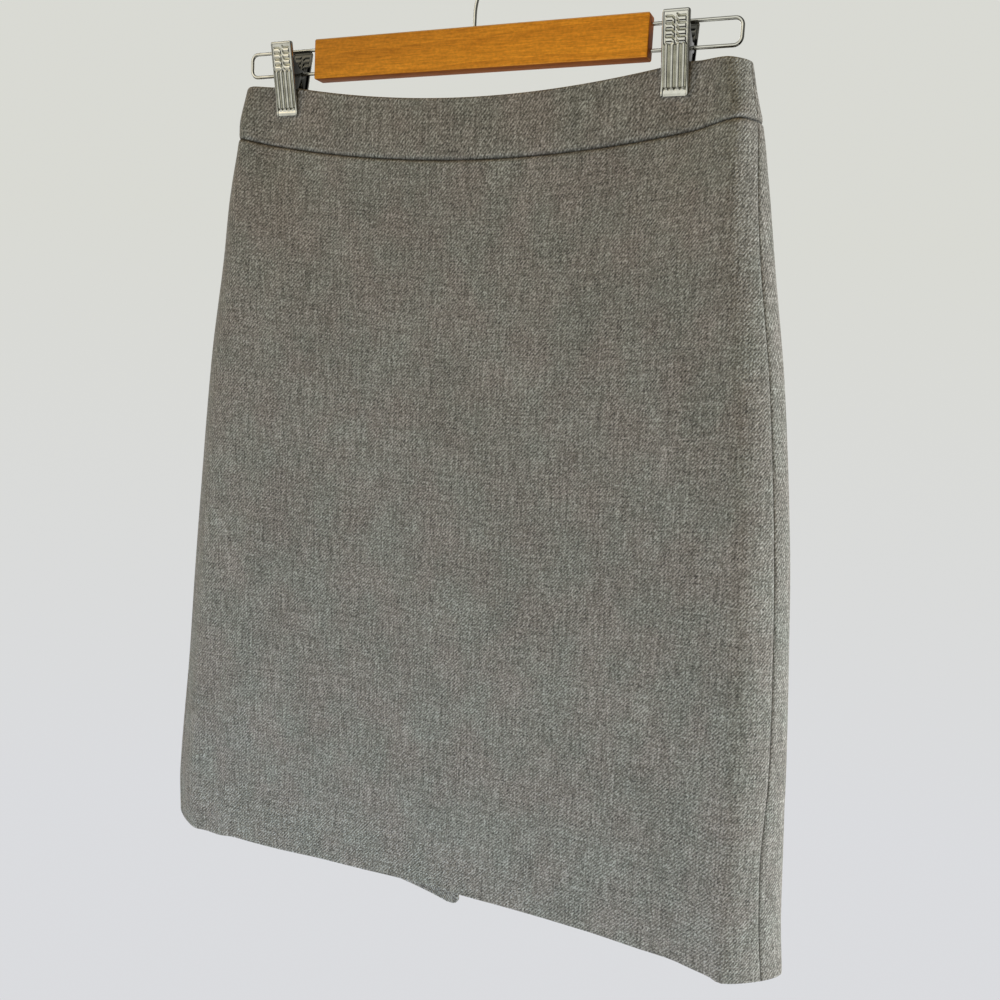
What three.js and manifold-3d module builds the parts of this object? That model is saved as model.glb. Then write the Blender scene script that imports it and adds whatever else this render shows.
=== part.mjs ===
// A pencil skirt in wool twill, hung by its waistband from a wooden clip hanger.
// Millimetres, +Z up, +X to the viewer's right, the front faces -Y.
// The origin is the inside top of the hanger's hook, where it rests on a rail.
import * as THREE from "three";
import { mergeVertices } from "three/addons/utils/BufferGeometryUtils.js";
import Module from "manifold-3d";

const wasm = await Module();
wasm.setup();

// Driving sizes of the hanger
const WIRE_R = 1.25;
const HOOK_INNER_R = 19;
const HOOK_TIP_TURN = THREE.MathUtils.degToRad(28);
const HOOK_JOIN_TURN = THREE.MathUtils.degToRad(-38);
const HOOK_BEND_BELOW = 66;
const HOOK_BEND_EASE = 14;
const BAR_TOP_BELOW = 75;
const BAR_LENGTH = 250;
const BAR_HEIGHT = 28;
const BAR_DEPTH = 12;
const BAR_ROUND = 1.6;
const BAR_Z = -(BAR_TOP_BELOW + BAR_HEIGHT / 2);
const LOOP_REACH = 184.5;
const LOOP_ROUND = 5;
const LOOP_TOP = 8;
const LOOP_LOW = -8.5;
const WIRE_IN_BAR = 18;
const HOLE_PLAY = 0.3;

// Driving sizes of the two clips
const CLIP_LEFT_X = -148;
const CLIP_RIGHT_X = 144;
const JAW_WIDTH = 18;
const JAW_ABOVE = 22.6;
const JAW_BELOW = 28.3;
const JAW_FACE = 11;
const JAW_SHEET = 1;
const JAW_TILT = THREE.MathUtils.degToRad(12);
const JAW_RELIEF = 0.5;
const JAW_PLAY = 0.3;
const JAW_ROUND = 2.2;
const RELIEF_SUNK = 0.2;
const RIB = { pitch: 3.6, width: 2.3, length: 26, z: -12.6 };
const LOUVRE = { rows: 4, pitch: 4.2, top: 18, out: 3.7, width: 6, height: 2.2, turn: 0.16 };
const EAR = { round: 3.2, neck: 2, low: -15, high: 12 };
const EAR_SHEET = 0.9;
const EAR_PLAY = 0.3;
const SPRING_WIRE_R = 0.5;
const SPRING_R = 2.6;
const SPRING_TURNS = 5;
const SPRING_LEG = 12;
const SPRING_HALF = 4.2;

// Driving sizes of the cloth, all measured down from the waistband's upper edge at the side
const EDGE_Z = BAR_Z - 17;
const BAND_HEIGHT = 37;
const SKIRT_LENGTH = 612;
const CLOTH = 1.6;
const BAND = 2.6;
const HEM_DEPTH = 40;
const HEM_CLOTH = 2.8;
const SEAM_GAP = 0.3;
const EDGE_SAG = 14;
const EDGE_SAG_HALF = 150;
const BAND_SAG = 19;
const BAND_SAG_HALF = 190;
const VENT_LENGTH = 160;
const VENT_TOP = SKIRT_LENGTH - VENT_LENGTH;
const VENT_DRIFT = 8;
const UNDERLAP = 42;
const UNDERLAP_ROOT = 8;
const UNDERLAP_CLEAR = 1.6;
const UNDERLAP_DIP = 7;
const FLAP_DROOP = 16;
const FLAP_DROOP_HALF = 115;
const ZIP_LENGTH = 200;
const ZIP_TOP = 3;
const ZIP_TAPE_WIDTH = 12;
const ZIP_TAPE = 0.8;
const ZIP_CHAIN_HALF = 0.8;
const ZIP_STEP_BELOW = 3;
const ZIP_STEP = 14;

// The garment's cross-sections. Each row is one level below the waistband's edge.
// right, left: half widths. The other columns say how far back (+Y) the outer face lies:
// at the centre front (mid), each side of the clips (inner, outer), at the fullest place of
// the side (lobe), at the side itself (side), and the same places on the back (b...).
// set is how much further back the left side hangs than the right one, and lobeIn how far
// in from the side its fullest place lies.
const SECTIONS = [
  {
    below: 0, right: 190, left: 190, mid: -2, inner: -3.5, outer: -3.5, lobe: -9,
    side: 7, bLobe: 22, bOuter: 3.5, bInner: 3.5, bMid: 9, set: 0, lobeIn: 12,
  },
  {
    below: 24, right: 195.5, left: 195.5, mid: -2, inner: -3.5, outer: -3.5, lobe: -11.5,
    side: 9, bLobe: 27, bOuter: 3.5, bInner: 3.5, bMid: 9.5, set: 0, lobeIn: 12,
  },
  {
    below: 37, right: 199, left: 198, mid: -1.5, inner: -3.3, outer: -4.6, lobe: -13,
    side: 11, bLobe: 31, bOuter: 8, bInner: 7, bMid: 10.5, set: 2, lobeIn: 13.5,
  },
  {
    below: 80, right: 206.5, left: 209, mid: 0, inner: -3, outer: -8, lobe: -14,
    side: 13, bLobe: 37, bOuter: 20, bInner: 13, bMid: 12.5, set: 3, lobeIn: 18,
  },
  {
    below: 128, right: 214, left: 217.5, mid: 1.5, inner: -2.4, outer: -9, lobe: -14,
    side: 15, bLobe: 41, bOuter: 27, bInner: 17, bMid: 14, set: 4, lobeIn: 22,
  },
  {
    below: 202, right: 226, left: 232, mid: 3.5, inner: -1, outer: -9, lobe: -13,
    side: 18, bLobe: 46, bOuter: 33, bInner: 21, bMid: 16.5, set: 6, lobeIn: 25,
  },
  {
    below: 310, right: 238.6, left: 246, mid: 7.5, inner: 2, outer: -7, lobe: -11,
    side: 21, bLobe: 51, bOuter: 38, bInner: 26, bMid: 20.5, set: 8, lobeIn: 28,
  },
  {
    below: 390, right: 244.6, left: 254.8, mid: 9.6, inner: 3.5, outer: -5.8, lobe: -9.4,
    side: 23, bLobe: 53, bOuter: 40.6, bInner: 29, bMid: 22.8, set: 9, lobeIn: 29,
  },
  {
    below: 459, right: 249, left: 262, mid: 12, inner: 5, outer: -4.5, lobe: -8,
    side: 24.5, bLobe: 55, bOuter: 43, bInner: 32, bMid: 25, set: 10, lobeIn: 31,
  },
  {
    below: 570, right: 255, left: 276, mid: 15.5, inner: 7.4, outer: -2, lobe: -5.6,
    side: 27, bLobe: 58, bOuter: 46, bInner: 35, bMid: 28.6, set: 12, lobeIn: 35,
  },
  {
    below: 612, right: 259.4, left: 277.5, mid: 17, inner: 8, outer: -1, lobe: -5,
    side: 28, bLobe: 59, bOuter: 47, bInner: 36, bMid: 30, set: 13, lobeIn: 38,
  },
];
// The places each side of a clip start this far from its middle, and reach these shares of the
// half width at the hem.
const PINCH_HALF = 13.5;
const INNER_SHARE = 0.7;
const OUTER_SHARE = 0.82;
// How far each side seam lies in front of the side itself, along the cloth.
const SEAM_FORWARD = [
  { below: 0, by: 3 },
  { below: 37, by: 9 },
  { below: 80, by: 15 },
  { below: 128, by: 17 },
  { below: 310, by: 18 },
  { below: 459, by: 19 },
  { below: 520, by: 23 },
  { below: 570, by: 22.5 },
  { below: 612, by: 21.5 },
];
const COLUMNS_HALF = 20;
const SKIRT_ROWS = 15;
const BAND_ROWS = 3;

const clothMaterial = new THREE.MeshStandardMaterial({ color: 0x87827b, roughness: 0.95 });
const tapeMaterial = new THREE.MeshStandardMaterial({ color: 0x6d6a66, roughness: 0.9 });
const woodMaterial = new THREE.MeshStandardMaterial({ color: 0xc07a2c, roughness: 0.45 });
const steelMaterial = new THREE.MeshStandardMaterial({ color: 0xc9c8c2, roughness: 0.25, metalness: 1 });

// A smooth step from 0 to 1
function ease(t) {
  const clamped = THREE.MathUtils.clamp(t, 0, 1);
  return clamped * clamped * (3 - 2 * clamped);
}

// A column of a table at any level, smooth through its rows
function columnAt(rows, key, below) {
  const last = rows.length - 1;
  let i = 0;
  while (i < last - 1 && rows[i + 1].below < below) i++;
  const a = rows[i];
  const b = rows[i + 1];
  const span = b.below - a.below;
  const t = THREE.MathUtils.clamp((below - a.below) / span, 0, 1);
  const slopeAt = (k) => {
    const p = rows[Math.max(k - 1, 0)];
    const n = rows[Math.min(k + 1, last)];
    return (n[key] - p[key]) / (n.below - p.below);
  };
  const t2 = t * t;
  const t3 = t2 * t;
  return (
    a[key] * (2 * t3 - 3 * t2 + 1) +
    span * slopeAt(i) * (t3 - 2 * t2 + t) +
    b[key] * (3 * t2 - 2 * t3) +
    span * slopeAt(i + 1) * (t3 - t2)
  );
}

// The closed outline of the garment at one level, seen from above, from the centre front
// round by the right side, the centre back and the left side.
const ARC_STEPS = 30;
const sectionCache = new Map();
function sectionAt(below) {
  if (sectionCache.has(below)) return sectionCache.get(below);
  const at = (key) => columnAt(SECTIONS, key, below);
  const share = ease(below / SKIRT_LENGTH);
  const places = (half, clipAt, set) => {
    const inX = THREE.MathUtils.lerp(clipAt - PINCH_HALF, half * INNER_SHARE, share);
    const outX = THREE.MathUtils.lerp(clipAt + PINCH_HALF, half * OUTER_SHARE, share);
    const lobeX = half - at("lobeIn");
    return { half, set, inX, outX, lobeX, clipX: (inX + outX) / 2 };
  };
  const right = places(at("right"), CLIP_RIGHT_X, 0);
  const left = places(at("left"), -CLIP_LEFT_X, at("set"));
  const front = (p, sign) => [
    [sign * p.inX, at("inner")],
    [sign * p.clipX, (at("inner") + at("outer")) / 2],
    [sign * p.outX, at("outer") + p.set * 0.6],
    [sign * p.lobeX, at("lobe") + p.set],
  ];
  const back = (p, sign) => [
    [sign * p.inX, at("bInner")],
    [sign * p.clipX, (at("bInner") + at("bOuter")) / 2],
    [sign * p.outX, at("bOuter") + p.set * 0.3],
    [sign * p.lobeX, at("bLobe") + p.set * 0.6],
  ];
  const outline = [
    [0, at("mid")],
    ...front(right, 1),
    [right.half, at("side")],
    ...back(right, 1).reverse(),
    [0, at("bMid")],
    ...back(left, -1),
    [-left.half, at("side") + left.set],
    ...front(left, -1).reverse(),
  ];
  const curve = new THREE.CatmullRomCurve3(
    outline.map(([x, y]) => new THREE.Vector3(x, y, 0)),
    true,
    "centripetal",
  );
  curve.arcLengthDivisions = outline.length * ARC_STEPS;
  const lengths = curve.getLengths();
  const quarter = outline.length / 4;
  const place = (k) => lengths[k * quarter * ARC_STEPS];
  const forward = columnAt(SEAM_FORWARD, "by", below);
  const made = {
    curve,
    whole: place(4),
    rightSeam: place(1) - forward,
    centreBack: place(2) - VENT_DRIFT * ease((below - VENT_TOP) / VENT_LENGTH),
    leftSeam: place(3) + forward,
  };
  sectionCache.set(below, made);
  return made;
}

// Heights of the waistband's edge, the waist seam and the hem where the cloth lies at x
function sag(x, depth, half) {
  return depth * Math.max(0, 1 - (x / half) ** 2);
}
function edgeZ(x) {
  return EDGE_Z - sag(x, EDGE_SAG, EDGE_SAG_HALF);
}
function waistSeamZ(x) {
  return EDGE_Z - BAND_HEIGHT - sag(x, BAND_SAG, BAND_SAG_HALF);
}
function hemZ(x, droops) {
  const level = EDGE_Z - SKIRT_LENGTH;
  if (!droops) return level;
  const near = THREE.MathUtils.clamp(1 + x / FLAP_DROOP_HALF, 0, 1);
  return level - FLAP_DROOP * near ** 1.6;
}
function heightAt(x, below, droops) {
  if (below <= BAND_HEIGHT) {
    return THREE.MathUtils.lerp(edgeZ(x), waistSeamZ(x), below / BAND_HEIGHT);
  }
  const share = (below - BAND_HEIGHT) / (SKIRT_LENGTH - BAND_HEIGHT);
  return THREE.MathUtils.lerp(waistSeamZ(x), hemZ(x, droops), share);
}

// A point of the garment: along is the distance round the section from the centre front,
// inset the distance in from the outer face.
function clothPoint(along, below, inset, droops = false) {
  const { curve, whole } = sectionAt(below);
  const t = THREE.MathUtils.euclideanModulo(along / whole, 1);
  const p = curve.getPointAt(t);
  const tangent = curve.getTangentAt(t);
  return new THREE.Vector3(
    p.x - tangent.y * inset,
    p.y + tangent.x * inset,
    heightAt(p.x, below, droops),
  );
}

// A closed wall between two faces of points: outer(i, j) and inner(i, j)
function wall(columns, rows, outer, inner) {
  const positions = [];
  const across = columns + 1;
  const side = across * (rows + 1);
  for (const face of [outer, inner]) {
    for (let j = 0; j <= rows; j++) {
      for (let i = 0; i <= columns; i++) positions.push(...face(i, j).toArray());
    }
  }
  const index = [];
  const quad = (a, b, c, d) => index.push(a, b, c, a, c, d);
  const at = (i, j) => j * across + i;
  for (let j = 0; j < rows; j++) {
    for (let i = 0; i < columns; i++) {
      quad(at(i, j), at(i, j + 1), at(i + 1, j + 1), at(i + 1, j));
      quad(side + at(i, j), side + at(i + 1, j), side + at(i + 1, j + 1), side + at(i, j + 1));
    }
  }
  for (let i = 0; i < columns; i++) {
    quad(at(i, 0), at(i + 1, 0), side + at(i + 1, 0), side + at(i, 0));
    quad(at(i + 1, rows), at(i, rows), side + at(i, rows), side + at(i + 1, rows));
  }
  for (let j = 0; j < rows; j++) {
    quad(at(0, j + 1), at(0, j), side + at(0, j), side + at(0, j + 1));
    quad(at(columns, j), at(columns, j + 1), side + at(columns, j + 1), side + at(columns, j));
  }
  const geometry = new THREE.BufferGeometry();
  geometry.setAttribute("position", new THREE.Float32BufferAttribute(positions, 3));
  geometry.setIndex(index);
  return geometry;
}

// Levels of a stretch of cloth, evenly spaced, with the two edges of the hem's step added
const FOLD_CLEAR = 9;
function levels(from, to, rows) {
  const list = Array.from({ length: rows + 1 }, (_, j) => from + ((to - from) * j) / rows);
  if (to < SKIRT_LENGTH) return list;
  const fold = SKIRT_LENGTH - HEM_DEPTH;
  const kept = list.filter((below) => Math.abs(below - fold) > FOLD_CLEAR);
  return [...kept, fold - 1, fold + 1].sort((a, b) => a - b);
}
function clothThickness(below) {
  return below > SKIRT_LENGTH - HEM_DEPTH ? HEM_CLOTH : CLOTH;
}

// Closer columns towards the side, where the cloth turns most
function spread(t) {
  return 0.5 * Math.sin((t * Math.PI) / 2) + 0.5 * t;
}

// One piece of the garment between two places round the section, given at each level
function clothPiece({ from, to, top, bottom, rows, columns, thickness, droops, share }) {
  const list = levels(top, bottom, rows);
  const along = (i, j) => {
    const a = from(sectionAt(list[j]));
    const b = to(sectionAt(list[j]));
    return a + (b - a) * share(i / columns);
  };
  return wall(
    columns,
    list.length - 1,
    (i, j) => clothPoint(along(i, j), list[j], 0, droops),
    (i, j) => clothPoint(along(i, j), list[j], thickness(list[j]), droops),
  );
}
const BOTH_SIDES = (t) => (t < 0.5 ? (1 - spread(1 - 2 * t)) / 2 : (1 + spread(2 * t - 1)) / 2);
const TOWARDS_START = (t) => 1 - spread(1 - t);

function solid(geometry) {
  const plain = geometry.clone();
  plain.deleteAttribute("normal");
  plain.deleteAttribute("uv");
  const merged = mergeVertices(plain, 1e-4);
  return new wasm.Manifold(
    new wasm.Mesh({
      numProp: 3,
      vertProperties: new Float32Array(merged.attributes.position.array),
      triVerts: new Uint32Array(merged.index.array),
    }),
  );
}
function geometryOf(made) {
  const mesh = made.getMesh();
  const geometry = new THREE.BufferGeometry();
  geometry.setAttribute("position", new THREE.BufferAttribute(mesh.vertProperties, 3));
  geometry.setIndex(new THREE.BufferAttribute(mesh.triVerts, 1));
  return geometry;
}
function joined(...geometries) {
  return geometries.map(solid).reduce((a, b) => a.add(b));
}

// The cloth: front and back of the waistband, front panel, two back panels
const halfGap = SEAM_GAP / 2;
const bandPiece = {
  top: 0,
  bottom: BAND_HEIGHT - halfGap,
  rows: BAND_ROWS,
  thickness: () => BAND,
};
const skirtPiece = {
  top: BAND_HEIGHT + halfGap,
  bottom: SKIRT_LENGTH,
  rows: SKIRT_ROWS,
  thickness: clothThickness,
};
const frontSpan = {
  from: (s) => s.leftSeam - s.whole + halfGap,
  to: (s) => s.rightSeam - halfGap,
  columns: 2 * COLUMNS_HALF,
  share: BOTH_SIDES,
};
const backRightSpan = {
  from: (s) => s.rightSeam + halfGap,
  to: (s) => s.centreBack - halfGap,
  columns: COLUMNS_HALF + 4,
  share: TOWARDS_START,
};
const backLeftSpan = {
  from: (s) => s.centreBack + halfGap,
  to: (s) => s.leftSeam - halfGap,
  columns: COLUMNS_HALF + 4,
  share: spread,
};

// The right back's extension, which goes on under the left back as the vent's underlap
function underlap() {
  const columns = 12;
  const rows = 5;
  const across = (i) => ((UNDERLAP + UNDERLAP_ROOT) * i) / columns;
  const inset = (i) =>
    THREE.MathUtils.lerp(SEAM_GAP, HEM_CLOTH + UNDERLAP_CLEAR, ease(across(i) / UNDERLAP_DIP));
  const level = (j) => VENT_TOP + ((VENT_LENGTH - 1) * j) / rows;
  const along = (i, j) => sectionAt(level(j)).centreBack - UNDERLAP_ROOT + across(i);
  return wall(
    columns,
    rows,
    (i, j) => clothPoint(along(i, j), level(j), inset(i)),
    (i, j) => clothPoint(along(i, j), level(j), inset(i) + CLOTH),
  );
}

// The closed zip in the centre back: two tapes inside, a slider and its pull
const SLIDER_BELOW = 8;
const zipSection = sectionAt(SLIDER_BELOW);
const zipSectionY = zipSection.curve.getPointAt(zipSection.centreBack / zipSection.whole).y;
const SLIDER_RING_R = 1.8;
const SLIDER_HOLE_R = 0.85;
const SLIDER_NECK = 1;
const SLIDER_LENGTH = 9;
const SLIDER_WIDTH = 4.4;
const SLIDER_SHEET = 1.6;
const SLIDER_NECK_HEIGHT = 4;
const RING_PROUD = 0.5;
const RING_PLAY = 0.3;
const PULL_PIN_R = 0.5;
const PULL_SHEET = 1;
const PULL_WIDTH = 5.4;
const PULL_LENGTH = 19;
const PULL_NECK = { half: 1.9, below: 4, shoulder: 8 };
const NOTCH_DEPTH = 14;
const NOTCH_HEIGHT = 8;
const pullAxis = new THREE.Vector3(0, zipSectionY + SLIDER_RING_R + RING_PROUD, edgeZ(0) - SLIDER_BELOW);

function zipTape(sign) {
  const rows = 12;
  const level = (j) => ZIP_TOP + ((ZIP_LENGTH - ZIP_TOP) * j) / rows;
  const inset = (below) => {
    const step = ease((below - BAND_HEIGHT - ZIP_STEP_BELOW) / ZIP_STEP);
    return THREE.MathUtils.lerp(BAND, CLOTH, step) + SEAM_GAP;
  };
  const along = (i, j) => {
    const near = i === (sign > 0 ? 0 : 1) ? ZIP_CHAIN_HALF : ZIP_TAPE_WIDTH;
    return sectionAt(level(j)).centreBack + sign * near;
  };
  return wall(
    1,
    rows,
    (i, j) => clothPoint(along(i, j), level(j), inset(level(j))),
    (i, j) => clothPoint(along(i, j), level(j), inset(level(j)) + ZIP_TAPE),
  );
}
function box(width, depth, height, x, y, z) {
  return new THREE.BoxGeometry(width, depth, height).translate(x, y, z);
}
function rodAlongX(radius, length, sides = 16) {
  return new THREE.CylinderGeometry(radius, radius, length, sides).rotateZ(Math.PI / 2);
}
// The slider's body lies inside the waistband and its ring outside it, joined by a thin neck
function zipSlider() {
  const bodyY = zipSectionY - BAND - ZIP_TAPE - 2 * SEAM_GAP - SLIDER_SHEET / 2;
  const neckFar = pullAxis.y - SLIDER_HOLE_R - RING_PLAY;
  const neckY = (neckFar + bodyY) / 2;
  const neck = box(SLIDER_NECK, neckFar - bodyY, SLIDER_NECK_HEIGHT, 0, neckY, pullAxis.z);
  const body = box(SLIDER_WIDTH, SLIDER_SHEET, SLIDER_LENGTH, 0, bodyY, pullAxis.z);
  const ring = rodAlongX(SLIDER_RING_R, SLIDER_NECK).translate(0, pullAxis.y, pullAxis.z);
  const hole = rodAlongX(SLIDER_HOLE_R, SLIDER_NECK + 2).translate(0, pullAxis.y, pullAxis.z);
  return geometryOf(joined(body, neck, ring).subtract(solid(hole)));
}
// The pull hangs by a round pin in the slider's ring and swings out and up
function zipPull() {
  const half = PULL_WIDTH / 2;
  const outline = new THREE.Shape();
  outline.moveTo(-PULL_NECK.half, PULL_PIN_R);
  outline.lineTo(-PULL_NECK.half, -PULL_NECK.below);
  outline.quadraticCurveTo(-half, -PULL_NECK.shoulder, -half, -PULL_LENGTH + half);
  outline.absarc(0, -PULL_LENGTH + half, half, Math.PI, 2 * Math.PI, false);
  outline.quadraticCurveTo(half, -PULL_NECK.shoulder, PULL_NECK.half, -PULL_NECK.below);
  outline.lineTo(PULL_NECK.half, PULL_PIN_R);
  outline.closePath();
  const blade = new THREE.ExtrudeGeometry(outline, {
    depth: PULL_SHEET,
    bevelEnabled: false,
    curveSegments: 8,
  })
    .translate(0, 0, -PULL_SHEET / 2)
    .rotateX(Math.PI / 2);
  const slotWidth = SLIDER_NECK + 2 * RING_PLAY;
  const slotLow = -SLIDER_RING_R - RING_PLAY;
  const slotHeight = 2 * PULL_PIN_R - slotLow;
  const slot = box(slotWidth, 2 * PULL_SHEET, slotHeight, 0, 0, slotLow + slotHeight / 2);
  const pin = rodAlongX(PULL_PIN_R, 2 * PULL_NECK.half, 12);
  const made = solid(blade).subtract(solid(slot)).add(solid(pin));
  return geometryOf(made).translate(0, pullAxis.y, pullAxis.z);
}

// The hanger's wooden bar, with holes for the two wire loops and the hook
function bar() {
  const w = BAR_LENGTH / 2 - BAR_ROUND;
  const h = BAR_HEIGHT / 2 - BAR_ROUND;
  const corners = [[-w, -h], [w, -h], [w, h], [-w, h]];
  const face = new THREE.Shape(corners.map(([x, z]) => new THREE.Vector2(x, z)));
  const block = new THREE.ExtrudeGeometry(face, {
    depth: BAR_DEPTH - 2 * BAR_ROUND,
    bevelEnabled: true,
    bevelThickness: BAR_ROUND,
    bevelSize: BAR_ROUND,
    bevelSegments: 3,
  })
    .translate(0, 0, -(BAR_DEPTH - 2 * BAR_ROUND) / 2)
    .rotateX(Math.PI / 2);
  const holeR = WIRE_R + HOLE_PLAY;
  const holes = [-1, 1].flatMap((sign) =>
    [LOOP_TOP, LOOP_LOW].map((z) =>
      rodAlongX(holeR, 2 * WIRE_IN_BAR + 1, 12).translate((sign * BAR_LENGTH) / 2, 0, z),
    ),
  );
  const hookHole = new THREE.CylinderGeometry(holeR, holeR, 2 * WIRE_IN_BAR + 1, 12)
    .rotateX(Math.PI / 2)
    .translate(0, 0, BAR_HEIGHT / 2);
  const made = [...holes, hookHole].reduce((a, hole) => a.subtract(solid(hole)), solid(block));
  return geometryOf(made).translate(0, 0, BAR_Z);
}

// A round wire along a path
function wire(path, radius, steps, sides) {
  const round = new THREE.Shape();
  for (let k = 0; k < sides; k++) {
    const a = (2 * Math.PI * k) / sides;
    const p = [radius * Math.cos(a), radius * Math.sin(a)];
    if (k) round.lineTo(...p);
    else round.moveTo(...p);
  }
  round.closePath();
  return new THREE.ExtrudeGeometry(round, { steps, extrudePath: path, bevelEnabled: false });
}
// A quarter turn in the XZ plane round a centre, from one angle to another
class TurnXZ extends THREE.Curve {
  constructor(cx, cz, radius, from, to) {
    super();
    Object.assign(this, { cx, cz, radius, from, to });
  }
  getPoint(t, target = new THREE.Vector3()) {
    const a = THREE.MathUtils.lerp(this.from, this.to, t);
    return target.set(this.cx + this.radius * Math.cos(a), 0, this.cz + this.radius * Math.sin(a));
  }
}
function loopPath(sign) {
  const start = BAR_LENGTH / 2 - WIRE_IN_BAR;
  const end = LOOP_REACH - WIRE_R;
  const top = BAR_Z + LOOP_TOP;
  const low = BAR_Z + LOOP_LOW;
  const at = (x, z) => new THREE.Vector3(sign * x, 0, z);
  const turn = (cz, from, to) => {
    const mirrored = (a) => (sign > 0 ? a : Math.PI - a);
    return new TurnXZ(sign * (end - LOOP_ROUND), cz, LOOP_ROUND, mirrored(from), mirrored(to));
  };
  const path = new THREE.CurvePath();
  path.add(new THREE.LineCurve3(at(start, top), at(end - LOOP_ROUND, top)));
  path.add(turn(top - LOOP_ROUND, Math.PI / 2, 0));
  path.add(new THREE.LineCurve3(at(end, top - LOOP_ROUND), at(end, low + LOOP_ROUND)));
  path.add(turn(low + LOOP_ROUND, 0, -Math.PI / 2));
  path.add(new THREE.LineCurve3(at(end - LOOP_ROUND, low), at(start, low)));
  return path;
}
function hookPath() {
  const r = HOOK_INNER_R + WIRE_R;
  const centreZ = -HOOK_INNER_R;
  const join = new TurnXZ(0, centreZ, r, HOOK_JOIN_TURN, Math.PI + HOOK_TIP_TURN);
  const joinAt = join.getPoint(0);
  const joinWay = new THREE.Vector3(-Math.sin(HOOK_JOIN_TURN), 0, Math.cos(HOOK_JOIN_TURN));
  const foot = new THREE.Vector3(0, 0, -BAR_TOP_BELOW - WIRE_IN_BAR);
  const bend = new THREE.Vector3(0, 0, -HOOK_BEND_BELOW);
  const path = new THREE.CurvePath();
  path.add(new THREE.LineCurve3(foot, bend));
  path.add(
    new THREE.CubicBezierCurve3(
      bend,
      bend.clone().add(new THREE.Vector3(0, 0, HOOK_BEND_EASE)),
      joinAt.clone().addScaledVector(joinWay, -HOOK_BEND_EASE),
      joinAt,
    ),
  );
  path.add(join);
  return path;
}

// One jaw of a clip, in its own frame: the pivot is the origin, +Z runs up the plate and
// -Y faces out. earInset parts the ears of the two jaws.
function jaw(earInset) {
  const w = JAW_WIDTH / 2;
  const face = new THREE.Shape();
  face.moveTo(-w, -JAW_BELOW);
  face.lineTo(w, -JAW_BELOW);
  face.lineTo(w, JAW_ABOVE - JAW_ROUND);
  face.quadraticCurveTo(w, JAW_ABOVE, w - JAW_ROUND, JAW_ABOVE);
  face.lineTo(-w + JAW_ROUND, JAW_ABOVE);
  face.quadraticCurveTo(-w, JAW_ABOVE, -w, JAW_ABOVE - JAW_ROUND);
  face.closePath();
  const plate = new THREE.ExtrudeGeometry(face, { depth: JAW_SHEET, bevelEnabled: false, curveSegments: 4 })
    .rotateX(Math.PI / 2)
    .translate(0, -JAW_FACE + JAW_SHEET, 0);
  const ridge = (width, height, x, z, turn = 0) =>
    new THREE.CylinderGeometry(0.25, 0.5, JAW_RELIEF + RELIEF_SUNK, 4)
      .rotateY(Math.PI / 4)
      .scale(Math.SQRT2 * width, 1, Math.SQRT2 * height)
      .rotateY(turn)
      .rotateX(Math.PI)
      .translate(x, -JAW_FACE - (JAW_RELIEF - RELIEF_SUNK) / 2, z);
  const ribs = [-1.5, -0.5, 0.5, 1.5].map((k) => ridge(RIB.width, RIB.length, k * RIB.pitch, RIB.z));
  const louvreAt = (side, z) =>
    ridge(LOUVRE.width, LOUVRE.height, side * LOUVRE.out, z, side * LOUVRE.turn);
  const louvreRows = Array.from({ length: LOUVRE.rows }, (_, row) => LOUVRE.top - row * LOUVRE.pitch);
  const louvres = louvreRows.flatMap((z) => [louvreAt(-1, z), louvreAt(1, z)]);
  const ear = new THREE.Shape();
  const inner = JAW_FACE - JAW_SHEET / 2;
  ear.moveTo(inner, EAR.low);
  ear.lineTo(EAR.neck, -EAR.round);
  ear.quadraticCurveTo(-EAR.round, -EAR.round, -EAR.round, 0);
  ear.quadraticCurveTo(-EAR.round, EAR.round, EAR.neck, EAR.round);
  ear.lineTo(inner, EAR.high);
  ear.closePath();
  const earAt = (x) =>
    new THREE.ExtrudeGeometry(ear, { depth: EAR_SHEET, bevelEnabled: false, curveSegments: 5 })
      .rotateX(Math.PI / 2)
      .rotateZ(-Math.PI / 2)
      .translate(x, 0, 0);
  const earX = w - earInset;
  const pin = rodAlongX(WIRE_R + HOLE_PLAY, JAW_WIDTH + 4, 12);
  const made = joined(plate, ...ribs, ...louvres, earAt(earX), earAt(-earX + EAR_SHEET)).subtract(solid(pin));
  return geometryOf(made);
}
// The spring round the lower wire, whose two ends press the levers apart
class Helix extends THREE.Curve {
  constructor(from, turns) {
    super();
    Object.assign(this, { from, turns });
  }
  getPoint(t, target = new THREE.Vector3()) {
    const a = this.from + t * this.turns * 2 * Math.PI;
    const x = THREE.MathUtils.lerp(-SPRING_HALF, SPRING_HALF, t);
    return target.set(x, SPRING_R * Math.cos(a), SPRING_R * Math.sin(a));
  }
}
function spring() {
  const plateGap = JAW_FACE - JAW_SHEET - SPRING_WIRE_R - JAW_PLAY;
  const legY = (plateGap + SPRING_LEG * Math.sin(JAW_TILT)) / Math.cos(JAW_TILT);
  const touch = Math.atan2(SPRING_LEG, legY) + Math.acos(SPRING_R / Math.hypot(legY, SPRING_LEG));
  const turns = SPRING_TURNS + (Math.PI - 2 * touch) / (2 * Math.PI);
  const coil = new Helix(touch, turns);
  const first = coil.getPoint(0);
  const last = coil.getPoint(1);
  const path = new THREE.CurvePath();
  path.add(new THREE.LineCurve3(new THREE.Vector3(first.x, legY, SPRING_LEG), first));
  path.add(coil);
  path.add(new THREE.LineCurve3(last, new THREE.Vector3(last.x, -legY, SPRING_LEG)));
  return wire(path, SPRING_WIRE_R, 72, 6);
}

function named(name, geometry, material) {
  const mesh = new THREE.Mesh(geometry, material);
  mesh.name = name;
  return mesh;
}

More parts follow.
